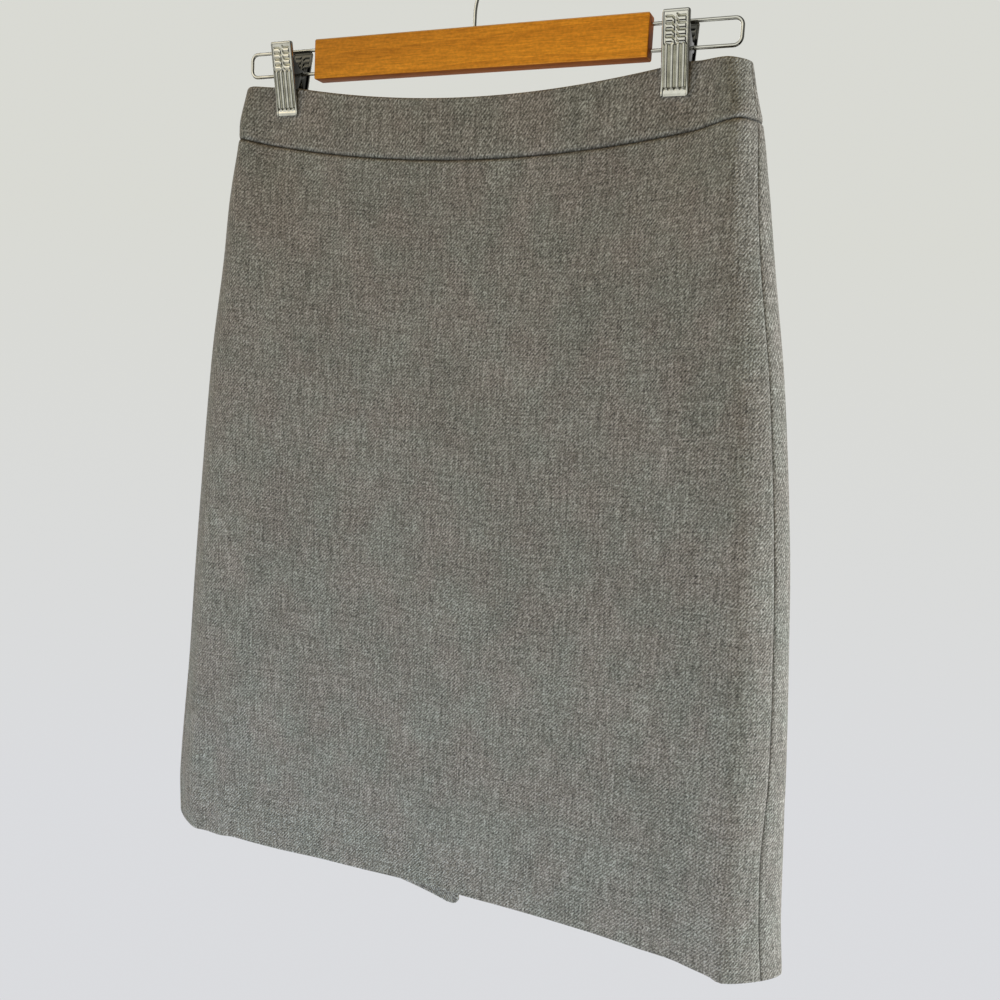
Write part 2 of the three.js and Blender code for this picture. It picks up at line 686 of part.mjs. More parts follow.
function clip(side, x) {
  const group = new THREE.Group();
  group.position.set(x, 0, BAR_Z + LOOP_LOW);
  const front = named(`clip_${side}_front_jaw`, jaw(0), steelMaterial);
  front.rotation.x = JAW_TILT;
  const back = named(`clip_${side}_back_jaw`, jaw(EAR_SHEET + EAR_PLAY), steelMaterial);
  back.rotation.set(JAW_TILT, 0, Math.PI, "ZXY");
  group.add(front, back, named(`clip_${side}_spring`, spring(), steelMaterial));
  return group;
}

// Half of the back waistband, notched where the slider's neck comes out of the closed zip
function bandBack(span) {
  const notch = box(2 * ZIP_CHAIN_HALF, NOTCH_DEPTH, NOTCH_HEIGHT, 0, zipSectionY, pullAxis.z);
  return geometryOf(solid(clothPiece({ ...bandPiece, ...span })).subtract(solid(notch)));
}

const skirt = new THREE.Group();
skirt.add(
  named("waistband_front", clothPiece({ ...bandPiece, ...frontSpan }), clothMaterial),
  named("waistband_back_right", bandBack(backRightSpan), clothMaterial),
  named("waistband_back_left", bandBack(backLeftSpan), clothMaterial),
  named("front_panel", clothPiece({ ...skirtPiece, ...frontSpan }), clothMaterial),
  named(
    "back_panel_right",
    geometryOf(joined(clothPiece({ ...skirtPiece, ...backRightSpan }), underlap())),
    clothMaterial,
  ),
  named("back_panel_left", clothPiece({ ...skirtPiece, ...backLeftSpan, droops: true }), clothMaterial),
  named("zip_tape_right", zipTape(-1), tapeMaterial),
  named("zip_tape_left", zipTape(1), tapeMaterial),
  named("zip_slider", zipSlider(), steelMaterial),
  named("zip_pull", zipPull(), steelMaterial),
);

const hanger = new THREE.Group();
hanger.add(
  named("hanger_bar", bar(), woodMaterial),
  named("hanger_hook", wire(hookPath(), WIRE_R, 64, 8), steelMaterial),
  named("wire_loop_right", wire(loopPath(1), WIRE_R, 56, 8), steelMaterial),
  named("wire_loop_left", wire(loopPath(-1), WIRE_R, 56, 8), steelMaterial),
  clip("right", CLIP_RIGHT_X),
  clip("left", CLIP_LEFT_X),
);

const part = new THREE.Group();
part.add(skirt, hanger);
export default part;
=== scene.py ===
"""A pencil skirt in grey wool twill, hung by its waistband from a wooden clip hanger.

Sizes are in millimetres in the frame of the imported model: +Z up, +X to the right of someone
who faces the skirt's front, and +Y from the front to the back. Meshes are made in metres.
"""

import functools
import math

import bmesh
import bpy
import numpy as np
from bpy.props import FloatProperty, FloatVectorProperty, IntProperty, PointerProperty
from mathutils import Matrix, Vector


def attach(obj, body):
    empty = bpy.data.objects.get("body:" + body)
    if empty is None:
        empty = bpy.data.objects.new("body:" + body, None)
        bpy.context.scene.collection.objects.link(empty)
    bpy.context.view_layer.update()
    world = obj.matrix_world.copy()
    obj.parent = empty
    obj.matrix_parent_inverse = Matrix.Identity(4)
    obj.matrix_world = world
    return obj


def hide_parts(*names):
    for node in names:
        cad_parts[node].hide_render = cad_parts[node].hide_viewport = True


bl_info = {
    "name": "Pencil Skirt on a Clip Hanger",
    "version": (1, 0, 0),
    "blender": (4, 5, 0),
    "location": "View3D > Sidebar > Skirt",
    "description": "Builds a hanging pencil skirt with its zip, and its wooden clip hanger",
    "category": "Add Mesh",
}

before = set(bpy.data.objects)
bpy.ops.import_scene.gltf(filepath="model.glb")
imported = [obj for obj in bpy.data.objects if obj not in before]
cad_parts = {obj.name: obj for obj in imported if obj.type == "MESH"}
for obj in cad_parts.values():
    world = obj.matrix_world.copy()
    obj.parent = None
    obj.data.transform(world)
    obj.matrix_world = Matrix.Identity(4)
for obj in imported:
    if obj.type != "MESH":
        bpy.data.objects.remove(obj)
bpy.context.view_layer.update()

MM = 0.001
SKIRT_BODY = "skirt_on_hanger"
PULL_BODY = "pull_tab"

# Driving sizes of the hanger
WIRE_R = 1.25
HOOK_INNER_R = 19.0
HOOK_TIP_TURN = math.radians(28)
HOOK_JOIN_TURN = math.radians(-38)
HOOK_BEND_BELOW = 66.0
HOOK_BEND_EASE = 14.0
BAR_TOP_BELOW = 75.0
BAR_LENGTH = 250.0
BAR_HEIGHT = 28.0
BAR_DEPTH = 12.0
BAR_Z = -(BAR_TOP_BELOW + BAR_HEIGHT / 2)
LOOP_REACH = 184.5
LOOP_ROUND = 5.0
LOOP_TOP = 8.0
LOOP_LOW = -8.5
WIRE_IN_BAR = 18.0
CLIP_LEFT_X = -148.0
CLIP_RIGHT_X = 144.0
CLIP_Z = BAR_Z + LOOP_LOW
JAW_WIDTH = 18.0
JAW_ABOVE = 22.6
JAW_BELOW = 28.3
JAW_FACE = 11.0
JAW_SHEET = 1.0
JAW_TILT = math.radians(12)
EAR_SHEET = 0.9
EAR_PLAY = 0.3
SPRING_WIRE_R = 0.5
SPRING_R = 2.6
SPRING_TURNS = 5
SPRING_LEG = 12.0
SPRING_HALF = 4.2
SPRING_CLEAR = 0.3
SPRING_STEPS = 150

# Driving sizes of the cloth, measured down from the waistband's upper edge at the side
EDGE_Z = BAR_Z - 17
BAND_HEIGHT = 37.0
SKIRT_LENGTH = 612.0
CLOTH = 1.6
BAND = 2.6
HEM_DEPTH = 40.0
HEM_CLOTH = 2.8
HALF_GAP = 0.15
EDGE_SAG = 14.0
EDGE_SAG_HALF = 150.0
BAND_SAG = 19.0
BAND_SAG_HALF = 190.0
VENT_LENGTH = 160.0
VENT_TOP = SKIRT_LENGTH - VENT_LENGTH
VENT_DRIFT = 8.0
UNDERLAP = 42.0
UNDERLAP_ROOT = 8.0
UNDERLAP_CLEAR = 1.6
UNDERLAP_DIP = 7.0
UNDERLAP_DIP_FROM = 2.0
UNDERLAP_ROOT_INSET = 0.5
UNDERLAP_SHORTER = 1.0
UNDERLAP_COLUMNS = 16
UNDERLAP_ROWS = 36
FLAP_DROOP = 16.0
FLAP_DROOP_HALF = 115.0
FLAP_DROOP_POWER = 2.1
FLAP_CORNER = 7.0
FLAP_CORNER_LIFT = 0.9
ZIP_LENGTH = 200.0
ZIP_TOP = 3.0
ZIP_TAPE_WIDTH = 12.0
ZIP_TAPE = 0.8
ZIP_CHAIN_HALF = 0.8

# The garment's cross-sections, one row for each level, as the frame's cloth has them.
# right, left: half widths. The rest say how far back the outer face lies at the centre front
# (mid), each side of the clips (inner, outer), at the fullest place of the side (lobe), at the
# side itself (side) and the same on the back (b_...). set is how much further back the left
# side hangs, and lobe_in how far in from the side its fullest place lies.
SECTION_COLUMNS = (
    "below", "right", "left", "mid", "inner", "outer", "lobe", "side",
    "b_lobe", "b_outer", "b_inner", "b_mid", "set", "lobe_in",
)
SECTION_ROWS = (
    (0, 190, 190, -2, -3.5, -3.5, -9, 7, 22, 3.5, 3.5, 9, 0, 12),
    (24, 195.5, 195.5, -2, -3.5, -3.5, -11.5, 9, 27, 3.5, 3.5, 9.5, 0, 12),
    (37, 199, 198, -1.5, -3.3, -4.6, -13, 11, 31, 8, 7, 10.5, 2, 13.5),
    (80, 206.5, 209, 0, -3, -8, -14, 13, 37, 20, 13, 12.5, 3, 18),
    (128, 214, 217.5, 1.5, -2.4, -9, -14, 15, 41, 27, 17, 14, 4, 22),
    (202, 226, 232, 3.5, -1, -9, -13, 18, 46, 33, 21, 16.5, 6, 25),
    (310, 238.6, 246, 7.5, 2, -7, -11, 21, 51, 38, 26, 20.5, 8, 28),
    (390, 244.6, 254.8, 9.6, 3.5, -5.8, -9.4, 23, 53, 40.6, 29, 22.8, 9, 29),
    (459, 249, 262, 12, 5, -4.5, -8, 24.5, 55, 43, 32, 25, 10, 31),
    (570, 255, 276, 15.5, 7.4, -2, -5.6, 27, 58, 46, 35, 28.6, 12, 35),
    (612, 259.4, 277.5, 17, 8, -1, -5, 28, 59, 47, 36, 30, 13, 38),
)
PINCH_HALF = 13.5
INNER_SHARE = 0.7
OUTER_SHARE = 0.82
# How much of the left side's setback its places near the clip have
SET_NEAR_CLIP = 0.6
BACK_SET_NEAR_CLIP = 0.3
# How far each side seam lies in front of the side itself, along the cloth
SEAM_COLUMNS = ("below", "by")
SEAM_ROWS = (
    (0, 3), (37, 9), (80, 15), (128, 17), (310, 18), (459, 19), (520, 23), (570, 22.5), (612, 21.5),
)

# Soft troughs (depth below 0) and ridges of the hanging cloth. Each row holds
# where a crease starts and ends, as the distance round the cloth from the centre of the front or
# back and the distance down, and then its width, its depth and how far its line bends.
FRONT_CREASES = (
    (-152, 30, -96, 430, 30, 2.2, -8),
    (-104, 120, -48, 600, 34, -1.7, 6),
    (-150, 260, -150, 640, 26, 1.3, 5),
    (148, 34, 120, 380, 28, 1.9, 6),
    (92, 150, 60, 560, 34, -1.5, -5),
    (172, 300, 158, 640, 24, 1.2, -4),
    (4, 200, 12, 640, 40, 1.1, 8),
    (-14, 60, -6, 250, 46, -0.8, 0),
    (182, 44, 196, 598, 22, -4.2, 0),
    (-196, 90, -206, 420, 14, -0.8, -4),
    (40, 330, 48, 470, 16, 0.5, 3),
    (-70, 250, -62, 350, 14, 0.5, 2),
    (-208, 500, -212, 640, 22, -4.2, 0),
    (-58, 480, -62, 640, 40, 2.0, 0),
)
BACK_CREASES = (
    (-140, 40, -112, 420, 30, 2.4, 8),
    (138, 40, 118, 390, 28, 2.1, -6),
    (-70, 170, -44, 560, 34, -1.9, -5),
    (64, 210, 60, 600, 32, -1.6, 6),
    (-168, 280, -176, 640, 24, 1.2, 4),
    (160, 330, 170, 640, 26, 1.3, -4),
    (-26, 196, -60, 300, 9, 0.7, 3),
    (24, 202, 52, 330, 10, 0.8, -3),
    (-18, 430, -52, 350, 9, 0.6, 2),
    (24, 440, 70, 340, 11, 0.7, 3),
    (-206, 150, -212, 480, 14, -0.8, 3),
    (200, 120, 208, 430, 15, -0.9, -3),
)


class ClothSettings(bpy.types.PropertyGroup):
    """Sizes and colours of the wool twill"""

    twill_pitch: FloatProperty(
        name="Twill Pitch", description="Distance between two diagonal lines of the twill",
        default=1.95 * MM, unit="LENGTH",
    )
    twill_turn: FloatProperty(
        name="Twill Angle", description="Angle of the twill lines above the weft",
        default=math.radians(50), subtype="ANGLE",
    )
    dark_yarn: FloatVectorProperty(
        name="Dark Yarn", description="Colour of the dark fibres", subtype="COLOR",
        default=(0.058, 0.052, 0.044), size=3, min=0, max=1,
    )
    mid_yarn: FloatVectorProperty(
        name="Grey Yarn", description="Colour of the main yarn", subtype="COLOR",
        default=(0.218, 0.196, 0.166), size=3, min=0, max=1,
    )
    light_yarn: FloatVectorProperty(
        name="Light Yarn", description="Colour of the light fibres", subtype="COLOR",
        default=(0.56, 0.52, 0.465), size=3, min=0, max=1,
    )
    seam_sink: FloatProperty(
        name="Seam Sink", description="How deep the cloth turns in at a seam",
        default=1.15 * MM, unit="LENGTH",
    )
    seam_reach: FloatProperty(
        name="Seam Reach", description="How far from the seam the turn starts",
        default=2.6 * MM, unit="LENGTH",
    )
    grid: FloatProperty(
        name="Mesh Step", description="Size of the panel's faces", default=4.4 * MM, unit="LENGTH",
    )
    stitch_pitch: FloatProperty(
        name="Hem Stitch Pitch", description="Distance between two blind stitches of the hem",
        default=9 * MM, unit="LENGTH",
    )


class HangerSettings(bpy.types.PropertyGroup):
    """Sizes and colours of the wooden clip hanger"""

    wood: FloatVectorProperty(
        name="Wood", description="Colour of the varnished wood", subtype="COLOR",
        default=(0.9, 0.35, 0.024), size=3, min=0, max=1,
    )
    dark_grain: FloatVectorProperty(
        name="Dark Grain", description="Colour of the wood's dark grain", subtype="COLOR",
        default=(0.5, 0.165, 0.009), size=3, min=0, max=1,
    )
    steel: FloatVectorProperty(
        name="Nickel", description="Colour of the nickel plate", subtype="COLOR",
        default=(0.72, 0.712, 0.61), size=3, min=0, max=1,
    )
    edge_round: FloatProperty(
        name="Edge Round", description="Radius of the bar's edges", default=1.3 * MM, unit="LENGTH",
    )
    wire_sides: IntProperty(
        name="Wire Sides", description="Faces round each wire", default=20, min=8, max=48,
    )


class StageSettings(bpy.types.PropertyGroup):
    """Background and light"""

    wall: FloatVectorProperty(
        name="Background", description="Colour seen behind the skirt", subtype="COLOR",
        default=(0.704, 0.712, 0.735), size=3, min=0, max=1,
    )
    key_power: FloatProperty(
        name="Key Light", description="Power of the soft light in front", default=6.5, unit="POWER",
    )
    room_light: FloatProperty(
        name="Room Light", description="Strength of the light from all round", default=0.76, min=0,
    )


def ease(t):
    """A smooth step from 0 to 1"""
    clamped = np.clip(t, 0, 1)
    return clamped * clamped * (3 - 2 * clamped)


def lerp(a, b, t):
    """A value between a and b"""
    return a + (b - a) * t


@functools.lru_cache(maxsize=None)
def column_at(rows, columns, key, below):
    """A column of a table at any level, smooth through its rows"""
    k = columns.index(key)
    last = len(rows) - 1
    i = 0
    while i < last - 1 and rows[i + 1][0] < below:
        i += 1
    span = rows[i + 1][0] - rows[i][0]
    t = min(max((below - rows[i][0]) / span, 0), 1)

    def slope(at):
        before = rows[max(at - 1, 0)]
        after = rows[min(at + 1, last)]
        return (after[k] - before[k]) / (after[0] - before[0])

    return (
        rows[i][k] * (2 * t**3 - 3 * t**2 + 1)
        + span * slope(i) * (t**3 - 2 * t**2 + t)
        + rows[i + 1][k] * (3 * t**2 - 2 * t**3)
        + span * slope(i + 1) * (t**3 - t**2)
    )


ARC_STEPS = 60


def closed_curve(places):
    """A closed centripetal Catmull-Rom curve through the places, with its length so far"""
    count = len(places)
    points = []
    for k in range(count):
        p0, p1, p2, p3 = (np.array(places[(k + m) % count], float) for m in (-1, 0, 1, 2))
        d0, d1, d2 = (
            max(np.sum((b - a) ** 2) ** 0.25, 1e-4) for a, b in ((p0, p1), (p1, p2), (p2, p3))
        )
        t1 = ((p1 - p0) / d0 - (p2 - p0) / (d0 + d1) + (p2 - p1) / d1) * d1
        t2 = ((p2 - p1) / d1 - (p3 - p1) / (d1 + d2) + (p3 - p2) / d2) * d1
        t = (np.arange(ARC_STEPS) / ARC_STEPS)[:, None]
        square = -3 * p1 + 3 * p2 - 2 * t1 - t2
        cube = 2 * p1 - 2 * p2 + t1 + t2
        points.append(p1 + t1 * t + square * t**2 + cube * t**3)
    points = np.vstack(points)
    points = np.vstack([points, points[:1]])
    steps = np.linalg.norm(np.diff(points, axis=0), axis=1)
    return points, np.concatenate([[0], np.cumsum(steps)])


class Section:
    """The closed outline of the garment at one level, seen from above"""

    def __init__(self, below):
        def at(key):
            return column_at(SECTION_ROWS, SECTION_COLUMNS, key, below)

        share = float(ease(below / SKIRT_LENGTH))

        def side(half, clip_at, left_set, sign):
            inner = lerp(clip_at - PINCH_HALF, half * INNER_SHARE, share)
            outer = lerp(clip_at + PINCH_HALF, half * OUTER_SHARE, share)
            middle = (inner + outer) / 2
            lobe = half - at("lobe_in")
            front = [
                (sign * inner, at("inner")),
                (sign * middle, (at("inner") + at("outer")) / 2),
                (sign * outer, at("outer") + left_set * SET_NEAR_CLIP),
                (sign * lobe, at("lobe") + left_set),
            ]
            back = [
                (sign * inner, at("b_inner")),
                (sign * middle, (at("b_inner") + at("b_outer")) / 2),
                (sign * outer, at("b_outer") + left_set * BACK_SET_NEAR_CLIP),
                (sign * lobe, at("b_lobe") + left_set * SET_NEAR_CLIP),
            ]
            return front, (sign * half, at("side") + left_set), back

        right_front, right_side, right_back = side(at("right"), CLIP_RIGHT_X, 0, 1)
        left_front, left_side, left_back = side(at("left"), -CLIP_LEFT_X, at("set"), -1)
        outline = [
            (0, at("mid")), *right_front, right_side, *right_back[::-1],
            (0, at("b_mid")), *left_back, left_side, *left_front[::-1],
        ]
        self.points, self.lengths = closed_curve(outline)
        self.whole = self.lengths[-1]
        quarter = len(outline) // 4 * ARC_STEPS
        forward = column_at(SEAM_ROWS, SEAM_COLUMNS, "by", below)
        self.right_seam = self.lengths[quarter] - forward
        drift = VENT_DRIFT * float(ease((below - VENT_TOP) / VENT_LENGTH))
        self.centre_back = self.lengths[2 * quarter] - drift
        self.left_seam = self.lengths[3 * quarter] + forward
        edges = np.diff(self.points, axis=0)
        around = np.vstack([edges[-1:], edges])
        way = around + np.vstack([edges, edges[:1]])
        self.ways = way / np.linalg.norm(way, axis=1)[:, None]

    def place(self, along, inset):
        """x and y of places along the outline, moved in from the outer face"""
        at = np.mod(along, self.whole)
        x, y = (np.interp(at, self.lengths, self.points[:, k]) for k in (0, 1))
        wx, wy = (np.interp(at, self.lengths, self.ways[:, k]) for k in (0, 1))
        return x - wy * inset, y + wx * inset, x


@functools.lru_cache(maxsize=None)
def section_at(below):
    """The outline at one level, made once"""
    return Section(below)


def sag(x, depth, half):
    """How far an edge hangs down between the clips"""
    return depth * np.maximum(0, 1 - (x / half) ** 2)


def edge_z(x):
    """Height of the waistband's upper edge"""
    return EDGE_Z - sag(x, EDGE_SAG, EDGE_SAG_HALF)


def waist_seam_z(x):
    """Height of the waistband's seam"""
    return EDGE_Z - BAND_HEIGHT - sag(x, BAND_SAG, BAND_SAG_HALF)


def hem_z(x, droops):
    """Height of the hem; the vent's overlap droops towards its corner"""
    level = EDGE_Z - SKIRT_LENGTH + 0 * x
    if not droops:
        return level
    return level - FLAP_DROOP * np.clip(1 + x / FLAP_DROOP_HALF, 0, 1) ** FLAP_DROOP_POWER


def height_at(x, below, droops=False, lift=0.0):
    """Height of the cloth at one level where it lies at x; lift raises its hem"""
    if below <= BAND_HEIGHT:
        return lerp(edge_z(x), waist_seam_z(x), below / BAND_HEIGHT)
    share = (below - BAND_HEIGHT) / (SKIRT_LENGTH - BAND_HEIGHT)
    return lerp(waist_seam_z(x), hem_z(x, droops) + lift, share)


CREASE_FADE = 0.3
# A crease that ends below this level runs out over the hem
RUNS_OUT = SKIRT_LENGTH - 12


def creased(creases, across, below):
    """How far the soft creases move the cloth out, in millimetres"""
    out = np.zeros_like(across)
    for a0, b0, a1, b1, width, depth, bend in creases:
        t = np.clip((below - b0) / (b1 - b0), 0, 1)
        line = lerp(a0, a1, t) + bend * math.sin(math.pi * t)
        fade = ease(t / CREASE_FADE)
        if b1 < RUNS_OUT:
            fade = fade * ease((1 - t) / CREASE_FADE)
        out += depth * fade * np.exp(-(((across - line) / width) ** 2))
    return out


def uneven(t):
    """A gentle unevenness from -1 to 1, the same on each run"""
    return (np.sin(t / 7.3) + np.sin(t / 17.1 + 1.3) + np.sin(t / 3.1 + 0.4)) / 3


def sunk(distance, depth, reach):
    """How far a seam draws the cloth in, by the distance from the seam"""
    return depth * np.clip(1 - distance / reach, 0, 1) ** 2


# A fold keeps a narrow face at its very edge
FOLD_KEEP = 0.92


def rolled(distance, thickness):
    """How far each face of a folded edge rounds in, by the distance from the edge"""
    half = thickness / 2
    near = np.clip(1 - distance / half, 0, 1)
    return half * (1 - np.sqrt(1 - near**2)) * FOLD_KEEP


# Distances from an edge at which a panel has a line of its mesh
EDGE_LINES = (0, 0.25, 0.6, 1.1, 1.8, 2.8, 4.4)


def spaced(length, count):
    """Places from 0 to length: close ones at both edges and even ones between"""
    edge = np.array(EDGE_LINES, float)
    middle = np.linspace(edge[-1], length - edge[-1], count)[1:-1]
    return np.concatenate([edge, middle, length - edge[::-1]])


def grid_faces(columns, rows, offset=0, turned=False):
    """Faces of a grid of points, row by row"""
    i, j = np.meshgrid(np.arange(columns - 1), np.arange(rows - 1))
    a = offset + (j * columns + i).ravel()
    quads = np.stack([a, a + columns, a + columns + 1, a + 1], axis=1)
    return quads[:, ::-1] if turned else quads


def rim_faces(columns, rows):
    """Faces that close the four edges between two grids, the second after the first"""
    side = columns * rows
    ring = list(range(columns))
    ring += [j * columns + columns - 1 for j in range(1, rows)]
    ring += [(rows - 1) * columns + i for i in range(columns - 2, -1, -1)]
    ring += [j * columns for j in range(rows - 2, 0, -1)]
    ring = np.array(ring)
    after = np.roll(ring, -1)
    return np.stack([ring, after, after + side, ring + side], axis=1)


def new_object(name, mesh, mat):
    """An object in the scene; a mesh that has a material keeps it"""
    obj = bpy.data.objects.new(name, mesh)
    bpy.context.scene.collection.objects.link(obj)
    if mat and not mesh.materials:
        mesh.materials.append(mat)
    return obj


def shaded(mesh, angle=40):
    """Smooth faces with sharp edges where they turn by more than the angle"""
    mesh.shade_smooth()
    mesh.set_sharp_from_angle(angle=math.radians(angle))


def shell_mesh(name, outer, inner, uv=None, mark=None, marked="seam"):
    """A closed mesh between two grids of points in millimetres, its outer face marked"""
    rows, columns = outer.shape[:2]
    points = np.concatenate([outer.reshape(-1, 3), inner.reshape(-1, 3)]) * MM
    faces = np.vstack([
        grid_faces(columns, rows),
        grid_faces(columns, rows, columns * rows, turned=True),
        rim_faces(columns, rows),
    ])
    mesh = bpy.data.meshes.new(name)
    mesh.from_pydata(points.tolist(), [], faces.tolist())
    corners = np.empty(len(mesh.loops), dtype=np.int32)
    mesh.loops.foreach_get("vertex_index", corners)
    if uv is not None:
        layer = mesh.uv_layers.new(name="weave")
        both = np.concatenate([uv.reshape(-1, 2)] * 2) * MM
        layer.data.foreach_set("uv", both[corners].astype(np.float32).ravel())
    if mark is not None:
        layer = mesh.attributes.new(marked, "FLOAT", "POINT")
        both = np.concatenate([mark.ravel(), np.zeros(mark.size)])
        layer.data.foreach_set("value", both.astype(np.float32))
    mesh.validate()
    shaded(mesh)
    return mesh


def mesh_of(name, work):
    """A new mesh of what a bmesh holds"""
    mesh = bpy.data.meshes.new(name)
    work.to_mesh(mesh)
    work.free()
    return mesh


def joined_mesh(name, *meshes):
    """One mesh of several closed ones; their UV maps and attributes stay"""
    work = bmesh.new()
    for mesh in meshes:
        work.from_mesh(mesh)
    made = mesh_of(name, work)
    shaded(made)
    for mesh in meshes:
        bpy.data.meshes.remove(mesh)
    return made


def placed(obj, node=None, body=SKIRT_BODY):
    """Hides the frame's node that the piece stands for and attaches the piece to its body"""
    if node:
        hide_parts(node)
    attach(obj, body)
    return obj


WEAVE_START = 300
WEAVE_TOP = 620


def weave_at(across, below, start=WEAVE_START):
    """Places in the weave along one level"""
    return np.stack([across + start, np.full_like(across, WEAVE_TOP - below)], axis=1)


def two_faces(section, along, insets, below, droops=False, lift=0.0):
    """Outer and inner points along one level, by how far in each face lies"""
    faces = []
    for inset in insets:
        x, y, on_line = section.place(along, inset)
        faces.append(np.stack([x, y, height_at(on_line, below, droops, lift)], axis=1))
    return faces


def shell_of(name, rows):
    """A closed mesh from rows of outer points, inner points, weave places and marks of painted seam
    shade
    """
    return shell_mesh(name, *(np.array(each) for each in zip(*rows)))


class Nodes:
    """Adds nodes to a tree; a value is a number, a colour or another node's output"""

    def __init__(self, tree):
        self.tree = tree
        tree.nodes.clear()

    def add(self, kind, inputs=None, **settings):
        """A node with its settings, and its inputs set or linked"""
        node = self.tree.nodes.new(kind)
        for key, value in settings.items():
            setattr(node, key, value)
        for key, value in (inputs or {}).items():
            if isinstance(value, bpy.types.NodeSocket):
                self.tree.links.new(value, node.inputs[key])
            else:
                node.inputs[key].default_value = value
        return node

    def math(self, operation, *values):
        """One sum of numbers"""
        return self.add("ShaderNodeMath", dict(enumerate(values)), operation=operation).outputs[0]

    def noise(self, vector, scale, detail=2.0, roughness=0.55):
        """Fine noise on a vector that is scaled by three numbers first"""
        spread = self.add("ShaderNodeMapping", {"Vector": vector, "Scale": scale}).outputs[0]
        made = self.add(
            "ShaderNodeTexNoise",
            {"Vector": spread, "Scale": 1.0, "Detail": detail, "Roughness": roughness},
        )
        return made.outputs["Fac"]

    def ramp(self, value, stops):
        """Colours by a value; stops are (value, colour)"""
        node = self.add("ShaderNodeValToRGB", {"Fac": value})
        line = node.color_ramp.elements
        while len(line) < len(stops):
            line.new(0.5)
        for element, (at, colour) in zip(line, stops):
            element.position = at
            element.color = (*colour, 1.0)
        return node.outputs["Color"]

    def mixed(self, blend, amount, a, b):
        """Two colours mixed or multiplied by an amount"""
        node = self.add("ShaderNodeMix", data_type="RGBA", blend_type=blend)
        for key, value in (("Factor_Float", amount), ("A_Color", a), ("B_Color", b)):
            socket = next(s for s in node.inputs if s.identifier == key)
            if isinstance(value, bpy.types.NodeSocket):
                self.tree.links.new(value, socket)
            else:
                socket.default_value = value
        return next(s for s in node.outputs if s.identifier == "Result_Color")

    def bump(self, height, distance, strength=1.0, normal=None):
        """Fine relief on the surface"""
        inputs = {"Height": height, "Distance": distance, "Strength": strength}
        if normal is not None:
            inputs["Normal"] = normal
        return self.add("ShaderNodeBump", inputs).outputs["Normal"]

    def surface(self, inputs):
        """Ends a material in one shader"""
        skin = self.add("ShaderNodeBsdfPrincipled", inputs)
        self.add("ShaderNodeOutputMaterial", {"Surface": skin.outputs[0]})


def new_paint(name):
    """A new material and its empty node tree"""
    mat = bpy.data.materials.new(name)
    mat.use_nodes = True
    return mat, Nodes(mat.node_tree)


def grey(value):
    """A grey of one brightness"""
    return (value,) * 3


def rgba(colour):
    """A colour without transparency"""
    return (*colour, 1.0)


@functools.lru_cache(maxsize=None)
def wool_twill():
    """Grey wool twill: diagonal lines, flecked yarns, faint slubs and a soft nap"""
    cloth = bpy.context.scene.skirt_cloth
    mat, n = new_paint("wool_twill")
    weave = n.add("ShaderNodeUVMap", uv_map="weave").outputs["UV"]
    turned = n.add(
        "ShaderNodeMapping", {"Vector": weave, "Rotation": (0, 0, -cloth.twill_turn)},
    ).outputs[0]
    # The wave's own phase runs 20 radians for each unit
    lines = n.add(
        "ShaderNodeTexWave",
        {
            "Vector": turned, "Scale": 2 * math.pi / (20 * cloth.twill_pitch), "Distortion": 2.6,
            "Detail": 2.0, "Detail Scale": 1.6, "Detail Roughness": 0.6,
        },
        wave_type="BANDS", bands_direction="Y", wave_profile="SIN",
    ).outputs["Fac"]
    floats = n.noise(turned, (430, 1050, 1), detail=2.0)
    flecks = n.noise(weave, (780, 780, 1), detail=2.0, roughness=0.6)
    mottle = n.noise(weave, (240, 200, 1), detail=2.0, roughness=0.9)
    fibres = n.noise(turned, (1400, 3200, 1), detail=1.0)
    warp_slubs = n.noise(weave, (640, 34, 1), detail=2.0, roughness=0.7)
    weft_slubs = n.noise(weave, (26, 600, 1), detail=2.0, roughness=0.7)
    patches = n.noise(weave, (16, 12, 1), detail=2.0)
    parts = (
        (lines, 0.17), (floats, 0.75), (flecks, 0.9), (mottle, 0.45), (fibres, 0.2),
        (warp_slubs, 0.5), (weft_slubs, 0.32), (patches, 0.1),
    )
    tone = 0.5
    for value, share in parts:
        tone = n.math("ADD", tone, n.math("MULTIPLY", n.math("SUBTRACT", value, 0.5), share))
    yarns = n.ramp(
        tone,
        [(0.2, cloth.dark_yarn), (0.5, cloth.mid_yarn), (0.82, cloth.light_yarn)],
    )
    tint = n.ramp(
        n.noise(weave, (30, 22, 1), detail=2.0),
        [(0.36, (1.0, 0.962, 0.962)), (0.64, (0.962, 1.0, 0.992))],
    )
    tinted = n.mixed("MULTIPLY", 1.0, yarns, tint)
    # The colour is darkened along the seams: painted shade in the seam grooves
    seam = n.add("ShaderNodeAttribute", attribute_name="seam").outputs["Fac"]
    seam_shaded_colour = n.mixed("MULTIPLY", n.math("MULTIPLY", seam, 0.9), tinted, (0.16, 0.15, 0.14, 1))
    relief = n.math("ADD", n.math("MULTIPLY", lines, 0.55), n.math("MULTIPLY", floats, 0.7))
    relief = n.math("ADD", relief, n.math("MULTIPLY", flecks, 0.5))
    fuzz = n.bump(fibres, 0.06 * MM, 0.5)
    n.surface({
        "Base Color": seam_shaded_colour, "Roughness": 0.92, "Specular IOR Level": 0.22,
        "Sheen Weight": 0.18, "Sheen Roughness": 0.55, "Sheen Tint": (0.9, 0.88, 0.85, 1),
        "Normal": n.bump(relief, 0.24 * MM, 0.75, fuzz),
    })
    return mat


